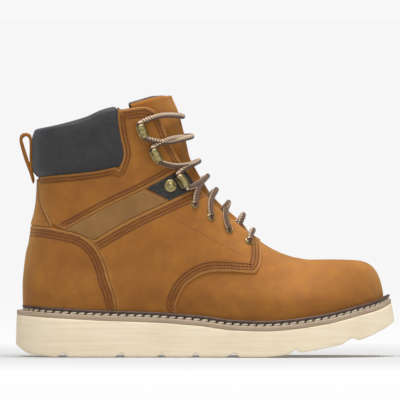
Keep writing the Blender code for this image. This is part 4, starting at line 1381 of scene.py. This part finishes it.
def make_panels(stitches):
    for side, name in SIDE_NAMES.items():
        top = chart(side, quarter_top)
        front = chart(side, quarter_front)
        inside = chart(side, [(to_x(0.38), to_z(0.42))])[0]
        stay_line = chart(side, along_edge(EYESTAY_ROW))
        seams = ((top, 3), (front, 3))
        piece = panel("quarter_leather_" + name, quarter_ring(side), LEATHER, seams)
        own(piece, "leather", "quarter_" + name)
        for number in (1, 2, 3):
            stitches.row(top[:-4], number * ROW_SPACING, inside)
            stitches.row(front[3:], number * ROW_SPACING, inside)
        stitches.row(stay_line, 0.0, inside)

        low = chart(side, panel_low)
        edge = chart(side, throat_points(panel_corner, THROAT_TOP, 60))
        collar = along_edge(TOP_EDGE, 4, 11)
        collar = chart(side, collar[collar[:, 0] > to_x(0.270)])
        pad_front = chart(side, along_edge(PAD_FRONT) + AHEAD)
        pad_low = along_edge(PAD_LOW) - ABOVE
        pad_low = chart(side, pad_low[pad_low[:, 0] > to_x(0.07)])
        inside = chart(side, [(to_x(0.33), to_z(0.76))])[0]
        below = chart(side, [(to_x(0.20), to_z(0.60))])[0]
        seams = ((low, 2), (edge, 2), (collar, 3), (pad_front, 2), (pad_low, 2))
        piece = panel("shaft_leather_" + name, shaft_ring(side), LEATHER, seams)
        own(piece, "leather", "shaft_panel_" + name)
        for number in (1, 2):
            stitches.row(low[3:-4], number * ROW_SPACING, inside)
            stitches.row(edge[4:-6], number * ROW_SPACING, inside)
            stitches.row(pad_front[6:-6], number * ROW_SPACING, inside)
            stitches.row(pad_low[6:-6], number * ROW_SPACING, below)
        for number in (1, 2, 3):
            stitches.row(collar[4:-4], number * ROW_SPACING, inside)

        strip = panel("ankle_strip_leather_" + name, strip_ring(side), STRIP, (), 0.9 * OVERLAY)
        own(strip, "strip_leather", "ankle_strip_" + name)
        patch = panel("ankle_patch_" + name, patch_ring(side), PATCH, (), 0.9 * OVERLAY)
        own(patch, "strip_leather")

    edge = both_sides(counter_edge)
    inside = (0.0, to_z(0.30))
    piece = panel("counter_leather", counter_ring(), LEATHER, ((edge, 3),))
    own(piece, "leather", "heel_counter")
    for side in (LATERAL, MEDIAL):
        half = chart(side, counter_edge[4:])
        target = chart(side, [(to_x(0.14), to_z(0.30))])[0]
        for number in (1, 2, 3):
            stitches.row(half[:-3], number * ROW_SPACING, target)
    stay = along_edge(STAY_EDGE)
    lines = [chart(side, stay) for side in (LATERAL, MEDIAL)]
    piece = panel("back_stay_leather", stay_ring(), LEATHER, [(line, 1) for line in lines])
    own(piece, "leather", "back_stay")
    for line in lines:
        stitches.row(line[3:-3], ROW_SPACING, (0.0, to_z(0.6)))


# Collar pad

def make_pad():
    """Padded outside, rolled over the edge of the wall and lined inside."""
    shape = PAD_FRONT
    around = 150
    outer = 34
    top_rows = 14
    inner_rows = 12
    us = np.sin(np.linspace(-1, 1, around) * math.pi / 2) * 0.35 + np.linspace(-1, 1, around) * 0.65
    rows = []
    seams = []
    for u in us:
        side = MEDIAL if u > 0 else LATERAL
        share = abs(u)
        end_x = to_x(np.mean(shape["along"]))
        far = HEEL_ARC + end_x - HEEL_X
        t_mid = share * far
        x_mid = float(surface(np.array([side * t_mid]), np.array([to_z(0.80)]))[0, 0])
        x_mid = max(x_mid, to_x(PAD_LOW["along"][0]))
        low = to_z(float(smooth(to_along(x_mid), PAD_LOW["along"], PAD_LOW["height"])))
        top = float(top_edge(x_mid)) - 0.0008
        close = math.sqrt(max(0.0, 1 - max(0.0, (share - 0.955) / 0.045) ** 2))
        row = []
        marks = []
        levels = list(np.linspace(0, 1, outer))
        for v in levels:
            z = low + (top - low) * v
            front = float(smooth(z / BOOT_HEIGHT, shape["height"], shape["along"]))
            t = side * share * (HEEL_ARC + to_x(front) - HEEL_X)
            puff = (1 - (1 - min(v / 0.22, 1.0)) ** 2.2) * (1 - 0.35 * max(0.0, (v - 0.80) / 0.20) ** 2)
            out = 0.0002 + PAD_BULGE * 1.05 * puff * close
            row.append((t, z, out))
            marks.append(min(v * (top - low), (1 - share) * far))
        last_t, last_z, last_out = row[-1]
        inward = -WALL - 0.8 * PAD_BULGE * close
        for k in range(1, top_rows + 1):
            turn = math.pi * k / top_rows
            middle = 0.5 * (last_out + inward)
            reach = 0.5 * (last_out - inward)
            row.append((last_t, last_z + 0.0030 * close * math.sin(turn), middle + reach * math.cos(turn)))
            marks.append(1.0)
        for k in range(1, inner_rows + 1):
            drop = PAD_INSIDE * k / inner_rows
            row.append((last_t, last_z - drop, inward + 0.0022 * (k / inner_rows) ** 2))
            marks.append(1.0)
        rows.append(row)
        seams.append(marks)
    rows = np.array(rows)
    flat = rows.reshape(-1, 3)
    normals = surface_normals(flat[:, 0], np.minimum(flat[:, 1], 0.93 * to_z(0.93)))
    base = surface(flat[:, 0], flat[:, 1])
    normals[:, 2] *= 0.3
    normals /= np.linalg.norm(normals, axis=1, keepdims=True)
    points = (base + normals * flat[:, 2:3]).reshape(rows.shape)
    verts, faces = grid(points)
    pad = put("collar_padding", verts, faces, [PAD, PAD_LINING])
    shell(pad, 0.0006, -1)
    gaps = np.array(seams).reshape(-1)
    # painted shade near the pad's seamed edges, where the puff curves down into the stitching
    floats(pad, "seam_shade", np.exp(-((gaps / 0.0016) ** 2)))
    own(pad, "padding", "collar_pad")
    rim = points[:, outer + top_rows // 2]
    return rim


# Tongue

def front_frame(lows, highs, count):
    keep = (FRONT_X <= to_x(lows)) & (FRONT_X >= to_x(highs))
    line = np.stack([FRONT_X[keep][::-1], FRONT_X[keep][::-1] * 0, FRONT_Z[keep][::-1]], axis=1)
    line = line[::-1] if line[0, 2] > line[-1, 2] else line
    points = evenly(line, count)
    tangent = np.gradient(points, axis=0)
    normal = np.stack([tangent[:, 2], tangent[:, 1] * 0, -tangent[:, 0]], axis=1)
    normal /= np.linalg.norm(normal, axis=1)[:, None]
    return points, normal


def depth_behind(side, point, normal, halves):
    """How far behind the front line the form is as wide as each of the halves."""
    low = np.zeros(len(halves))
    high = np.full(len(halves), 0.08)
    for _ in range(26):
        depth = 0.5 * (low + high)
        x = point[0] - normal[0] * depth
        z = point[2] - normal[2] * depth
        narrow = body_half(side, x, z) < halves
        low = np.where(narrow, depth, low)
        high = np.where(narrow, high, depth)
    return high


def throat_half(point, normal):
    depth = np.linspace(0, 0.05, 101)
    x = point[0] - normal[0] * depth
    z = point[2] - normal[2] * depth
    inside = np.nonzero(z < top_edge(x))[0]
    if not len(inside):
        return 0.0
    return float(body_half(LATERAL, x[inside[0]], z[inside[0]]))


def make_tongue():
    count = 70
    columns = 22
    points, normals = front_frame(TONGUE_ROOT, TONGUE_TOP, count)
    rows = []
    for i, (point, normal) in enumerate(zip(points, normals)):
        rise = i / (count - 1)
        widest = SHAFT_WIDTH * float(smooth(rise, TONGUE["rise"], TONGUE["half"]))
        opening = throat_half(point, normal)
        dip = TONGUE_DIP * (1 - ease(rise, 0.04, 0.20))
        halves = widest * np.abs(np.sin(np.arange(columns + 1) / columns * math.pi / 2))
        row = []
        for side in (LATERAL, MEDIAL):
            depth = depth_behind(side, point, normal, halves)
            depth[0] = 0.0
            spread = np.minimum(halves / (0.80 * opening), 1.0) if opening > 0.002 else np.ones(columns + 1)
            puff = TONGUE_PUFF * (1 - spread**2) ** 2
            rib = 0.0004 * np.cos(2 * math.pi * halves / 0.011) * ease(rise, 0.55, 0.70)
            shift = (depth - puff + dip + rib)[:, None]
            place = point[None, :] - normal[None, :] * shift
            place[:, 1] = center(place[:, 0]) + side * halves
            row.append(place)
        rows.append(np.vstack([row[0][::-1], row[1][1:]]))
    verts, faces = grid(np.array(rows))
    tongue = weld(put("tongue_leather", verts, faces, LEATHER))
    if sum(polygon.normal.x for polygon in tongue.data.polygons) < 0:
        tongue.data.flip_normals()
    under_wall = WALL + TONGUE_GAP
    shell(tongue, TONGUE_THICK, -1 - 2 * under_wall / TONGUE_THICK)
    own(tongue, "leather", "tongue")
    return np.array(rows)


def ribbon(name, points, thick, half_thick, half_rise, finish, sides=12):
    """A flattened tube along points; thick gives the direction of its wide axis at each point."""
    tangent = np.gradient(points, axis=0)
    tangent /= np.linalg.norm(tangent, axis=1, keepdims=True)
    rise = np.cross(tangent, thick)
    rise /= np.linalg.norm(rise, axis=1, keepdims=True)
    wide = np.cross(rise, tangent)
    turns = np.linspace(0, 2 * math.pi, sides + 1)
    rows = [
        [points[k] + wide[k] * half_thick * math.cos(a) + rise[k] * half_rise * math.sin(a) for a in turns]
        for k in range(len(points))
    ]
    verts, faces = grid(np.array(rows))
    return weld(put(name, verts, faces, finish), 1e-6)


def swept(name, points, radius, finish, sides):
    """A tube along points, closed at its ends."""
    points = np.asarray(points, dtype=float)
    tangent = np.gradient(points, axis=0)
    tangent /= np.linalg.norm(tangent, axis=1, keepdims=True)
    across = np.cross(tangent, (0.0, 0.0, 1.0))
    across /= np.maximum(np.linalg.norm(across, axis=1, keepdims=True), 1e-9)
    rise = np.cross(across, tangent)
    turns = np.linspace(0, 2 * math.pi, sides + 1)
    rows = []
    for k, place in enumerate(points):
        rows.append([place + radius * (across[k] * math.cos(a) + rise[k] * math.sin(a)) for a in turns])
    rows = np.array(rows)
    caps = [np.repeat(points[e][None, None], sides + 1, axis=1) for e in (0, -1)]
    verts, faces = grid(np.vstack([caps[0], rows, caps[1]]))
    return weld(put(name, verts, faces, finish), 1e-6)


# Pull loop

CURVE_WRAP = 3


def closed_curve(points, count):
    """A smooth closed line through points."""
    points = np.array(points)
    wrapped = np.vstack([points[-CURVE_WRAP:], points, points[:CURVE_WRAP]])
    tangent = (np.roll(wrapped, -1, axis=0) - np.roll(wrapped, 1, axis=0)) / 2
    fine = np.linspace(0, len(points), count, endpoint=False)
    i = fine.astype(int)
    s = (fine - i)[:, None]
    here = i + CURVE_WRAP
    return hermite(s, wrapped[here], wrapped[here + 1], tangent[here], tangent[here + 1])


def make_pull_loop():
    shape = PULL_LOOP
    count = 110
    outer = closed_curve(list(zip(to_x(shape["outer_along"]), to_z(shape["outer_height"]))), count)
    hole = closed_curve(list(zip(to_x(shape["hole_along"]), to_z(shape["hole_height"]))), count)
    half = 0.5 * LOOP_WIDTH
    rows = []
    for (x, z), (hx, hz) in zip(outer, hole):
        out = np.array([x, z])
        inn = np.array([hx, hz])
        way = (inn - out) / max(np.linalg.norm(inn - out), 1e-9)
        flat = half - LOOP_SOFT
        section = []
        for place, step, sign in ((out, way, -1), (inn, -way, 1)):
            edge = place + step * LOOP_SOFT
            section += [(edge, sign * half), (place, sign * flat)]
            section += [(place, -sign * flat), (edge, -sign * half)]
        row = [(spot[0], y, spot[1]) for spot, y in section]
        rows.append(row + row[:1])
    verts, faces = grid(np.array(rows), closed=True)
    loop = weld(put("pull_loop_leather", verts, faces, LEATHER), 1e-6)
    own(loop, "leather", "pull_loop")


# Metal fastenings

def lathe(profile, matrix, steps=40):
    """Closed or domed ring turned about Z from a profile of radius and height."""
    rows = []
    for k in range(steps):
        a = 2 * math.pi * k / steps
        rows.append([matrix @ Vector((r * math.cos(a), r * math.sin(a), h)) for r, h in profile])
    return grid(np.array([[tuple(p) for p in row] for row in rows]), closed=True)


def spot_frame(side, point):
    t, w = chart(side, [point])[0]
    spot = surface(t, w)
    normal = surface_normals(t, w)
    return spot, normal


def make_eyelets():
    seat = OVERLAY
    outer = EYELET_RADIUS
    bore = EYELET_BORE
    rise = EYELET_FLANGE
    profile = [
        (bore, -0.0010), (bore, seat + 0.35 * rise), (bore + 0.00020, seat + 0.75 * rise),
        (bore + 0.00055, seat + rise), (bore + 0.00095, seat + 0.95 * rise),
        (outer - 0.00022, seat + 0.55 * rise), (outer, seat + 0.18 * rise), (outer, seat - 0.0003),
    ]
    disc = [(0.0, seat + 0.0001), (bore + 0.0001, seat + 0.0001), (bore + 0.0001, seat - 0.0010)]
    for side, name in SIDE_NAMES.items():
        for number, point in enumerate(side_points(EYELETS), 1):
            spot, normal = spot_frame(side, point)
            turn = frame_at(spot, normal, (0, 0, 1))
            verts, faces = lathe(profile, turn)
            ring = weld(put(f"eyelet_ring_{name}_{number}", verts, faces, BRASS), 1e-6)
            own(ring, "brass", f"eyelet_{name}_{number}")
            verts, faces = lathe(disc, turn, 24)
            shade = weld(put(f"eyelet_shade_{name}_{number}", verts, faces, SHADE), 1e-6)
            own(shade, "lace")


def front_direction(x, z):
    """Direction in the side view from a point towards the throat edge."""
    edge_x = np.linspace(to_x(THROAT_TOP), to_x(THROAT_END), 200)
    edge_z = top_edge(edge_x)
    nearest = np.argmin((edge_x - x) ** 2 + (edge_z - z) ** 2)
    ahead = np.array([edge_x[nearest] - x, 0, edge_z[nearest] - z])
    return ahead / np.linalg.norm(ahead)


def hook_profile(width):
    """Bent sheet of a hook, with round bends."""
    half = 0.5 * width
    sheet = HOOK_SHEET
    top = 2 * sheet + HOOK_CHANNEL
    radius = 0.5 * top
    points = [(-half, 0), (half - radius, 0)]
    for k in range(13):
        a = -math.pi / 2 + math.pi * k / 12
        points.append((half - radius + radius * math.cos(a), radius + radius * math.sin(a)))
    points += [(-0.55 * half, top), (-0.80 * half, top - 0.4 * sheet), (-0.80 * half, top - 1.2 * sheet)]
    inner = radius - sheet
    for k in range(13):
        a = math.pi / 2 - math.pi * k / 12
        points.append((half - radius + inner * math.cos(a), radius + inner * math.sin(a)))
    points += [(-half, sheet)]
    return points


def make_hooks():
    seat = OVERLAY + 0.0001
    for side, name in SIDE_NAMES.items():
        for number, (x, z) in enumerate(side_points(HOOKS), 1):
            spot, normal = spot_frame(side, (x, z))
            turn = frame_at(spot + normal * seat, normal, front_direction(x, z))
            profile = hook_profile(HOOK_WIDTH)
            half = 0.5 * HOOK_HEIGHT
            rows = []
            for share in np.linspace(-1, 1, 15):
                bow = 1 - 0.12 * abs(share) ** 4
                row = []
                for along, rise in profile:
                    row.append(tuple(turn @ Vector((half * share, along * bow, rise))))
                rows.append(row + [row[0]])
            verts, faces = grid(np.array(rows))
            wide = len(profile) + 1
            faces.append(tuple(range(wide - 2, -1, -1)))
            faces.append(tuple(range(14 * wide, 14 * wide + wide - 1)))
            hook = weld(put(f"hook_metal_{name}_{number}", verts, faces, BRASS), 1e-6)
            soften(hook, 0.00025, 2, 40)
            own(hook, "brass", f"hook_{name}_{number}")
        rise = RIVET_RISE
        radius = RIVET_RADIUS
        profile = [
            (0.0, rise), (0.15 * radius, 0.99 * rise), (0.30 * radius, 0.93 * rise),
            (0.42 * radius, 0.78 * rise), (0.50 * radius, 0.48 * rise), (0.56 * radius, 0.36 * rise),
            (0.70 * radius, 0.40 * rise), (0.86 * radius, 0.34 * rise), (0.96 * radius, 0.18 * rise),
            (radius, 0.0), (radius, -0.3 * rise),
        ]
        spot, normal = spot_frame(side, (to_x(RIVET[0]), to_z(RIVET[1])))
        turn = frame_at(spot + normal * seat, normal, (0, 0, 1))
        verts, faces = lathe(profile, turn)
        dome = weld(put(f"rivet_dome_{name}", verts, faces, BRASS), 1e-6)
        own(dome, "brass", f"rivet_{name}")


# Lace: its shown radius, how far a strand bows as a share of its length, and the braid's pattern

LACE_SHOWN = 1.22 * LACE_RADIUS
LACE_BOW = 0.10
LACE_STEP = 0.0006
BRAID_PITCH = 0.0022
BRAID_STARTS = 2
BRAID_SIDES = 14


def fastening_points(side, number, upward):
    """Where a strand is held at its eyelet or hook, its start in the side view, and if it is a hook."""
    eyelets = len(EYELETS["along"])
    if number <= eyelets:
        x, z = side_points(EYELETS)[number - 1]
        spot, normal = spot_frame(side, (x, z))
        return (spot, normal), np.array([x, z]), False
    x, z = side_points(HOOKS)[number - 1 - eyelets]
    ahead = front_direction(x, z)
    beside = np.array([-ahead[2], ahead[0]]) * (1 if upward else -1)
    start = np.array([x, z]) + beside * (0.5 * HOOK_HEIGHT + 0.6 * LACE_RADIUS)
    spot, normal = spot_frame(side, (x, z))
    return (spot, normal), start, True


def half_strand(side, number, upward, front, over, lift):
    """A strand from a fastening to its crossing at the middle of the tongue."""
    held, start, at_hook = fastening_points(side, number, upward)
    middle = np.array([to_x(front), float(front_z(to_x(front)))])
    flap = OVERLAY + LACE_RADIUS * 0.92
    tongue = LACE_RADIUS - WALL - TONGUE_GAP
    crown = tongue + TONGUE_PUFF + lift
    shares = np.sin(np.linspace(0, 1, 40) * math.pi / 2)
    chord = middle - start
    bow = LACE_BOW * np.array([-chord[1], chord[0]]) * (1 if upward else -1)
    line = [start + chord * share + bow * math.sin(math.pi * share) for share in shares]
    beyond = [z - float(top_edge(x)) for x, z in line]
    edge = next((s for s, b in zip(shares, beyond) if b > 0), 0.5)
    reach = np.linalg.norm(middle - start)
    points = []
    spot, normal = held
    if at_hook:
        channel = OVERLAY + HOOK_SHEET + 0.5 * HOOK_CHANNEL
        points.append(spot + normal * channel)
    elif over:
        points.append(spot - normal * 0.001)
        points.append(spot + normal * (OVERLAY + 0.0015))
    for share, (x, z), rise in zip(shares[:-1], line, beyond):
        settled = float(ease(share, edge, 1.0))
        if over:
            if not at_hook and share * reach < EYELET_RADIUS + 0.0004:
                continue
            if at_hook and share * reach < 0.0008 and share > 0:
                continue
            start_out = flap + (0.0010 if at_hook and share == 0 else 0.0)
            out = start_out + (crown - start_out) * settled
        elif rise > -0.005:
            hidden = float(ease(-rise, -0.004, 0.005))
            out = tongue + (crown - tongue) * settled
            out = out * (1 - hidden) + (-WALL - 0.9 * LACE_RADIUS) * hidden
        else:
            continue
        spot, normal = spot_frame(side, (x, z))
        points.append(spot + normal * out)
    forward = front_frame(front + 0.004, front - 0.004, 3)[1][1]
    points.append(np.array([middle[0], center(middle[0]), middle[1]]) + forward * crown)
    return points


def braided(name, points, finish):
    """A lace strand with the pattern's place along and around it."""
    points = curved(points, LACE_STEP)
    for _ in range(3):
        points[1:-1] = 0.5 * points[1:-1] + 0.25 * (points[:-2] + points[2:])
    tangent = np.gradient(points, axis=0)
    tangent /= np.linalg.norm(tangent, axis=1, keepdims=True)
    across = np.cross(tangent[0], (0.0, 0.0, 1.0))
    rows = []
    coords = []
    travelled = path_length(points)
    turns = np.linspace(0, 2 * math.pi, BRAID_SIDES + 1)
    for k, place in enumerate(points):
        across = across - tangent[k] * (across @ tangent[k])
        across /= np.linalg.norm(across)
        rise = np.cross(across, tangent[k])
        rows.append([place + LACE_SHOWN * (across * math.cos(a) + rise * math.sin(a)) for a in turns])
        coords.append([(travelled[k] * 2 * math.pi / BRAID_PITCH, BRAID_STARTS * a) for a in turns])
    verts, faces = grid(np.array(rows))
    lace = put(name, verts, faces, finish)
    layer = lace.data.uv_layers.new(name="braid")
    flat = np.array(coords).reshape(-1, 2)
    for loop in lace.data.loops:
        layer.data[loop.index].uv = flat[loop.vertex_index]
    return lace


def make_lace():
    eyelets = len(EYELETS["along"])
    rows = list(zip(LACING["lower"], LACING["upper"], LACING["front"]))
    for number, (lower, upper, front) in enumerate(rows, 1):
        lower = int(lower)
        upper = int(upper)
        straight = lower == upper
        for side in (LATERAL,) if straight else (LATERAL, MEDIAL):
            lift = 0.0003
            if not straight:
                lift = 2.0 * LACE_RADIUS * 0.92 if (side == LATERAL) == (number % 2 == 0) else 0.0
            first = half_strand(side, lower, True, front, straight or lower > 1, lift)
            last = half_strand(-side, upper, straight, front, straight or upper > eyelets, lift)
            name = f"lace_strand_{number}_{SIDE_NAMES[side]}"
            strand = braided(name, first + last[-2::-1], LACE)
            nodes = (f"lace_{number}",) if side == LATERAL else ()
            own(strand, "lace", *nodes)


# Sole

def layer_shares():
    """Stations from heel to toe: close together at the ends, and one at each notch corner."""
    turns = np.linspace(-1, 1, SOLE_STATIONS + 1)
    even = 0.5 + 0.25 * np.sin(turns * math.pi / 2) + 0.25 * turns
    corners = []
    for rear, front in zip(NOTCHES["rear"], NOTCHES["front"]):
        corners += [rear, rear + NOTCH_APEX * (front - rear), front]
    kept = [s for s in even if min(abs(s - c) for c in corners) > 0.0012]
    return np.array(sorted(kept + corners))


def layer_loop(column, height, inset=0.0, inner=None):
    """One level of a layer: lateral and medial edges at shared stations from heel to toe."""
    edges = {}
    for side in (LATERAL, MEDIAL):
        share = np.linspace(-1, 1, 3 * OUTLINE_SAMPLES)
        rear = back_x(upper_base(HEEL_X))
        x = 0.5 * (TOE_X + rear) + 0.5 * (TOE_X - rear) * np.sin(share * math.pi / 2)
        y = center(x) + side * foot_half(side, x)
        dx = np.gradient(x)
        dy = np.gradient(y)
        size = np.hypot(dx, dy)
        reach = inner
        if inner is None:
            reach = WELT_REACH * smooth(to_along(x), REACH["along"], REACH[column])
        reach = reach - inset
        dy[0], dx[0], size[0] = side, 0, 1
        dy[-1], dx[-1], size[-1] = -side, 0, 1
        edges[side] = (x - side * dy / size * reach, y + side * dx / size * reach)
    lateral_x, lateral_y = edges[LATERAL]
    medial_x, medial_y = edges[MEDIAL]
    tail = min(lateral_x[0], medial_x[0])
    tip = max(lateral_x[-1], medial_x[-1])
    stations = tail + (tip - tail) * layer_shares()
    lateral = np.interp(stations, lateral_x, lateral_y)
    medial = np.interp(stations, medial_x, medial_y)
    lateral[0] = medial[0] = 0.5 * (lateral_y[0] + medial_y[0])
    lateral[-1] = medial[-1] = 0.5 * (lateral_y[-1] + medial_y[-1])
    heights = height(stations)
    low = np.stack([stations, lateral, heights], axis=1)
    high = np.stack([stations, medial, heights], axis=1)
    return np.vstack([low, high[-2:0:-1]])


def capped(name, levels, finish):
    """A closed solid from level rings, capped by strips across at its first and last level."""
    rings = [np.asarray(level) for level in levels]
    count = len(rings[0])
    verts, faces = grid(np.array([list(r) + [r[0]] for r in rings]))
    wide = count + 1
    half = count // 2
    for level in (0, len(rings) - 1):
        first = level * wide
        for i in range(half):
            mirror = (count - i) % count
            near = (count - i - 1) % count
            across = (first + i, first + i + 1, first + near, first + mirror)
            faces.append(tuple(dict.fromkeys(across)))
    return weld(put(name, verts, faces, finish), 1e-7)


def lifted(level, rise):
    return lambda x: level(x) + rise


def make_sole():
    ground = layer_loop("ground", sole_ground)
    edge = layer_loop("edge", sole_top)
    levels = [
        layer_loop("ground", sole_ground, 0.0013),
        layer_loop("ground", lifted(sole_ground, 0.0002), 0.0006),
        layer_loop("ground", lifted(sole_ground, 0.0008), 0.0001),
    ]
    for share in (0.06, 0.15, 0.3, 0.45, 0.6, 0.75, 0.88, 0.96):
        levels.append(ground * (1 - share) + edge * share)
    levels.append(layer_loop("edge", lifted(sole_top, -0.0004), 0.0001))
    levels.append(layer_loop("edge", sole_top, 0.0007))
    own(capped("wedge_sole", levels, CREAM), "outsole", "outsole")

    strip = (
        (0.0, 0.0008), (0.0004, 0.0002), (0.0010, 0.0), (MIDSOLE_THICK - 0.0008, 0.0),
        (MIDSOLE_THICK - 0.0002, 0.0003), (MIDSOLE_THICK, 0.0010),
    )
    levels = [layer_loop("midsole", lifted(sole_top, rise), inset) for rise, inset in strip]
    own(capped("midsole_strip", levels, TAUPE), "midsole", "midsole")


WELT_SECTION = table(
    "back up",
    (0.0012, -0.0002),
    (0.0012, 0.0018),
    (0.0004, 0.0021),
    (0.0000, 0.0027),
    (0.0000, 0.0034),
    (0.0003, 0.0040),
    (0.0010, 0.0043),
)


def make_welt():
    rings = []
    for back, up in zip(WELT_SECTION["back"], WELT_SECTION["up"]):
        rings.append(layer_loop("welt", lifted(midsole_top, up), back))
    rings.append(layer_loop("", welt_top, 0.0, -0.0004))
    rings.append(layer_loop("", midsole_top, 0.0, -0.0004))
    verts, faces = grid(np.array([list(r) + [r[0]] for r in rings + rings[:1]]))
    own(weld(put("welt_lip", verts, faces, WELT_BROWN), 1e-7), "welt", "welt")

    stitches = Stitches()
    line = layer_loop("welt", lifted(midsole_top, 0.0009), 0.0010)
    closed = np.vstack([line, line[:1]])
    length = path_length(closed)
    pitch = length[-1] / round(length[-1] / 0.0066)
    starts = np.arange(0, length[-1] - 1e-6, pitch)
    tangent = np.gradient(closed, axis=0)
    outward = np.stack([tangent[:, 1], -tangent[:, 0], tangent[:, 0] * 0], axis=1)
    outward /= np.maximum(np.linalg.norm(outward, axis=1, keepdims=True), 1e-9)
    for start in starts:
        ends = []
        for offset, lift in ((0.0, -0.00050), (0.0058, 0.00055)):
            spot = [np.interp(start + offset, length, closed[:, k]) for k in range(3)]
            ends.append(np.array(spot) + np.array([0, 0, lift]))
        normal = np.array([np.interp(start + 0.0024, length, outward[:, k]) for k in range(3)])
        stitches.add(ends[0], ends[1], normal / np.linalg.norm(normal), 0.00095, 8)
    own(stitches.make("welt_stitches", WELT_THREAD), "welt")


# Assembly

def make_insole():
    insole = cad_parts["insole"]
    if not insole.material_slots:
        insole.data.materials.append(INSOLE_TAN)
    for each in insole.material_slots:
        each.material = INSOLE_TAN


def make_bindings(rim, tongue_rows):
    own(swept("collar_binding", rim[2:-2], 0.0009, BINDING, 8), "padding")
    along = np.gradient(tongue_rows, axis=1)
    upward = np.gradient(tongue_rows, axis=0)
    normal = np.cross(along, upward)
    normal /= np.maximum(np.linalg.norm(normal, axis=2, keepdims=True), 1e-12)
    middle = tongue_rows.shape[1] // 2
    if normal[-1, middle, 0] < 0:
        normal = -normal
    core = tongue_rows - normal * (WALL + TONGUE_GAP + 0.5 * TONGUE_THICK)
    down = 6
    line = np.vstack([core[-down:-1, 0], core[-1], core[-down:-1, -1][::-1]])
    wide = np.vstack([normal[-down:-1, 0], normal[-1], normal[-down:-1, -1][::-1]])
    both = spaced(np.hstack([line, wide * 0.001]), 0.0012)
    own(ribbon("tongue_binding", both[:, :3], both[:, 3:] * 1000, 0.0022, 0.0011, BINDING), "leather")


# Stage

VIEW_CENTER = (-0.0048, 0.0, 0.1248)
VIEW_ELEVATION = 0.7
FRAME_WIDTH = 0.320
LENS = 1500
SENSOR_WIDTH = 36
CLIP_END = 1000
WORLD_LIGHT = 0.24
FLOOR_REACH = 200.0
FLOOR_DROP = 0.0004
LAMP_AIM = (0.0, 0.0, 0.10)


def studio_floor():
    """White paper: it takes the boot's soft shadow near the boot and glows evenly further away."""
    look = Finish("studio_floor", 0.9, Specular_IOR_Level=0.1, Emission_Color=(1, 1, 1, 1))
    away = node(look.tree, "ShaderNodeVectorMath", operation="LENGTH")
    look.join(look.place, away.inputs[0])
    far = look.stretch(away.outputs["Value"], 0.15, 0.55)
    glow = look.stretch(far, 0.0, 1.0, 0.12, 0.90)
    look.join(glow, look.shader.inputs["Emission Strength"])
    return look.finish(look.mix(far, (0.46, 0.46, 0.46, 1), (0.05, 0.05, 0.05, 1)))


def lamp(name, place, power, wide, high):
    data = bpy.data.lights.new(name, "AREA")
    data.shape = "RECTANGLE"
    data.size = wide
    data.size_y = high
    data.energy = power
    obj = bpy.data.objects.new(name, data)
    obj.location = place
    obj.rotation_euler = (Vector(LAMP_AIM) - Vector(place)).to_track_quat("-Z", "Y").to_euler()
    bpy.context.scene.collection.objects.link(obj)


def make_stage():
    far = FLOOR_REACH
    corners = [(-far, -far, 0), (far, -far, 0), (far, far, 0), (-far, far, 0)]
    floor = put("floor", corners, [(0, 1, 2, 3)], studio_floor(), False)
    floor.location.z = -FLOOR_DROP

    world = bpy.data.worlds.new("studio")
    world.use_nodes = True
    tree = world.node_tree
    back = tree.nodes["Background"]
    back.inputs["Color"].default_value = (0.93, 0.935, 0.94, 1)
    back.inputs["Strength"].default_value = WORLD_LIGHT
    plain = node(tree, "ShaderNodeBackground", Color=(0.94, 0.94, 0.94, 1), Strength=1.0)
    rays = node(tree, "ShaderNodeLightPath")
    blend = node(tree, "ShaderNodeMixShader")
    tree.links.new(rays.outputs["Is Camera Ray"], blend.inputs[0])
    tree.links.new(back.outputs[0], blend.inputs[1])
    tree.links.new(plain.outputs[0], blend.inputs[2])
    tree.links.new(blend.outputs[0], tree.nodes["World Output"].inputs["Surface"])
    bpy.context.scene.world = world

    lamp("overhead", (0.10, -0.20, 1.9), 56, 1.7, 1.4)
    lamp("front_left", (-1.1, -1.7, 1.1), 5, 1.2, 1.2)
    lamp("front_right", (1.3, -1.5, 0.8), 4, 1.2, 1.2)

    data = bpy.data.cameras.new("camera")
    data.lens = LENS
    data.sensor_width = SENSOR_WIDTH
    camera = bpy.data.objects.new("camera", data)
    bpy.context.scene.collection.objects.link(camera)
    target = Vector(VIEW_CENTER)
    away = FRAME_WIDTH * LENS / SENSOR_WIDTH
    rise = math.radians(VIEW_ELEVATION)
    camera.location = target + Vector((0, -math.cos(rise), math.sin(rise))) * away
    camera.rotation_euler = (target - camera.location).to_track_quat("-Z", "Y").to_euler()
    data.clip_end = CLIP_END
    bpy.context.scene.camera = camera
    bpy.context.scene.view_settings.view_transform = "Standard"


# The boot on its stage

make_stage()
thread_work = Stitches()
make_skin()
make_panels(thread_work)
collar_rim = make_pad()
tongue_surface = make_tongue()
make_bindings(collar_rim, tongue_surface)
own(thread_work.make("seam_stitches", SEAM_THREAD), "leather")
make_pull_loop()
make_eyelets()
make_hooks()
make_lace()
make_sole()
make_welt()
make_insole()
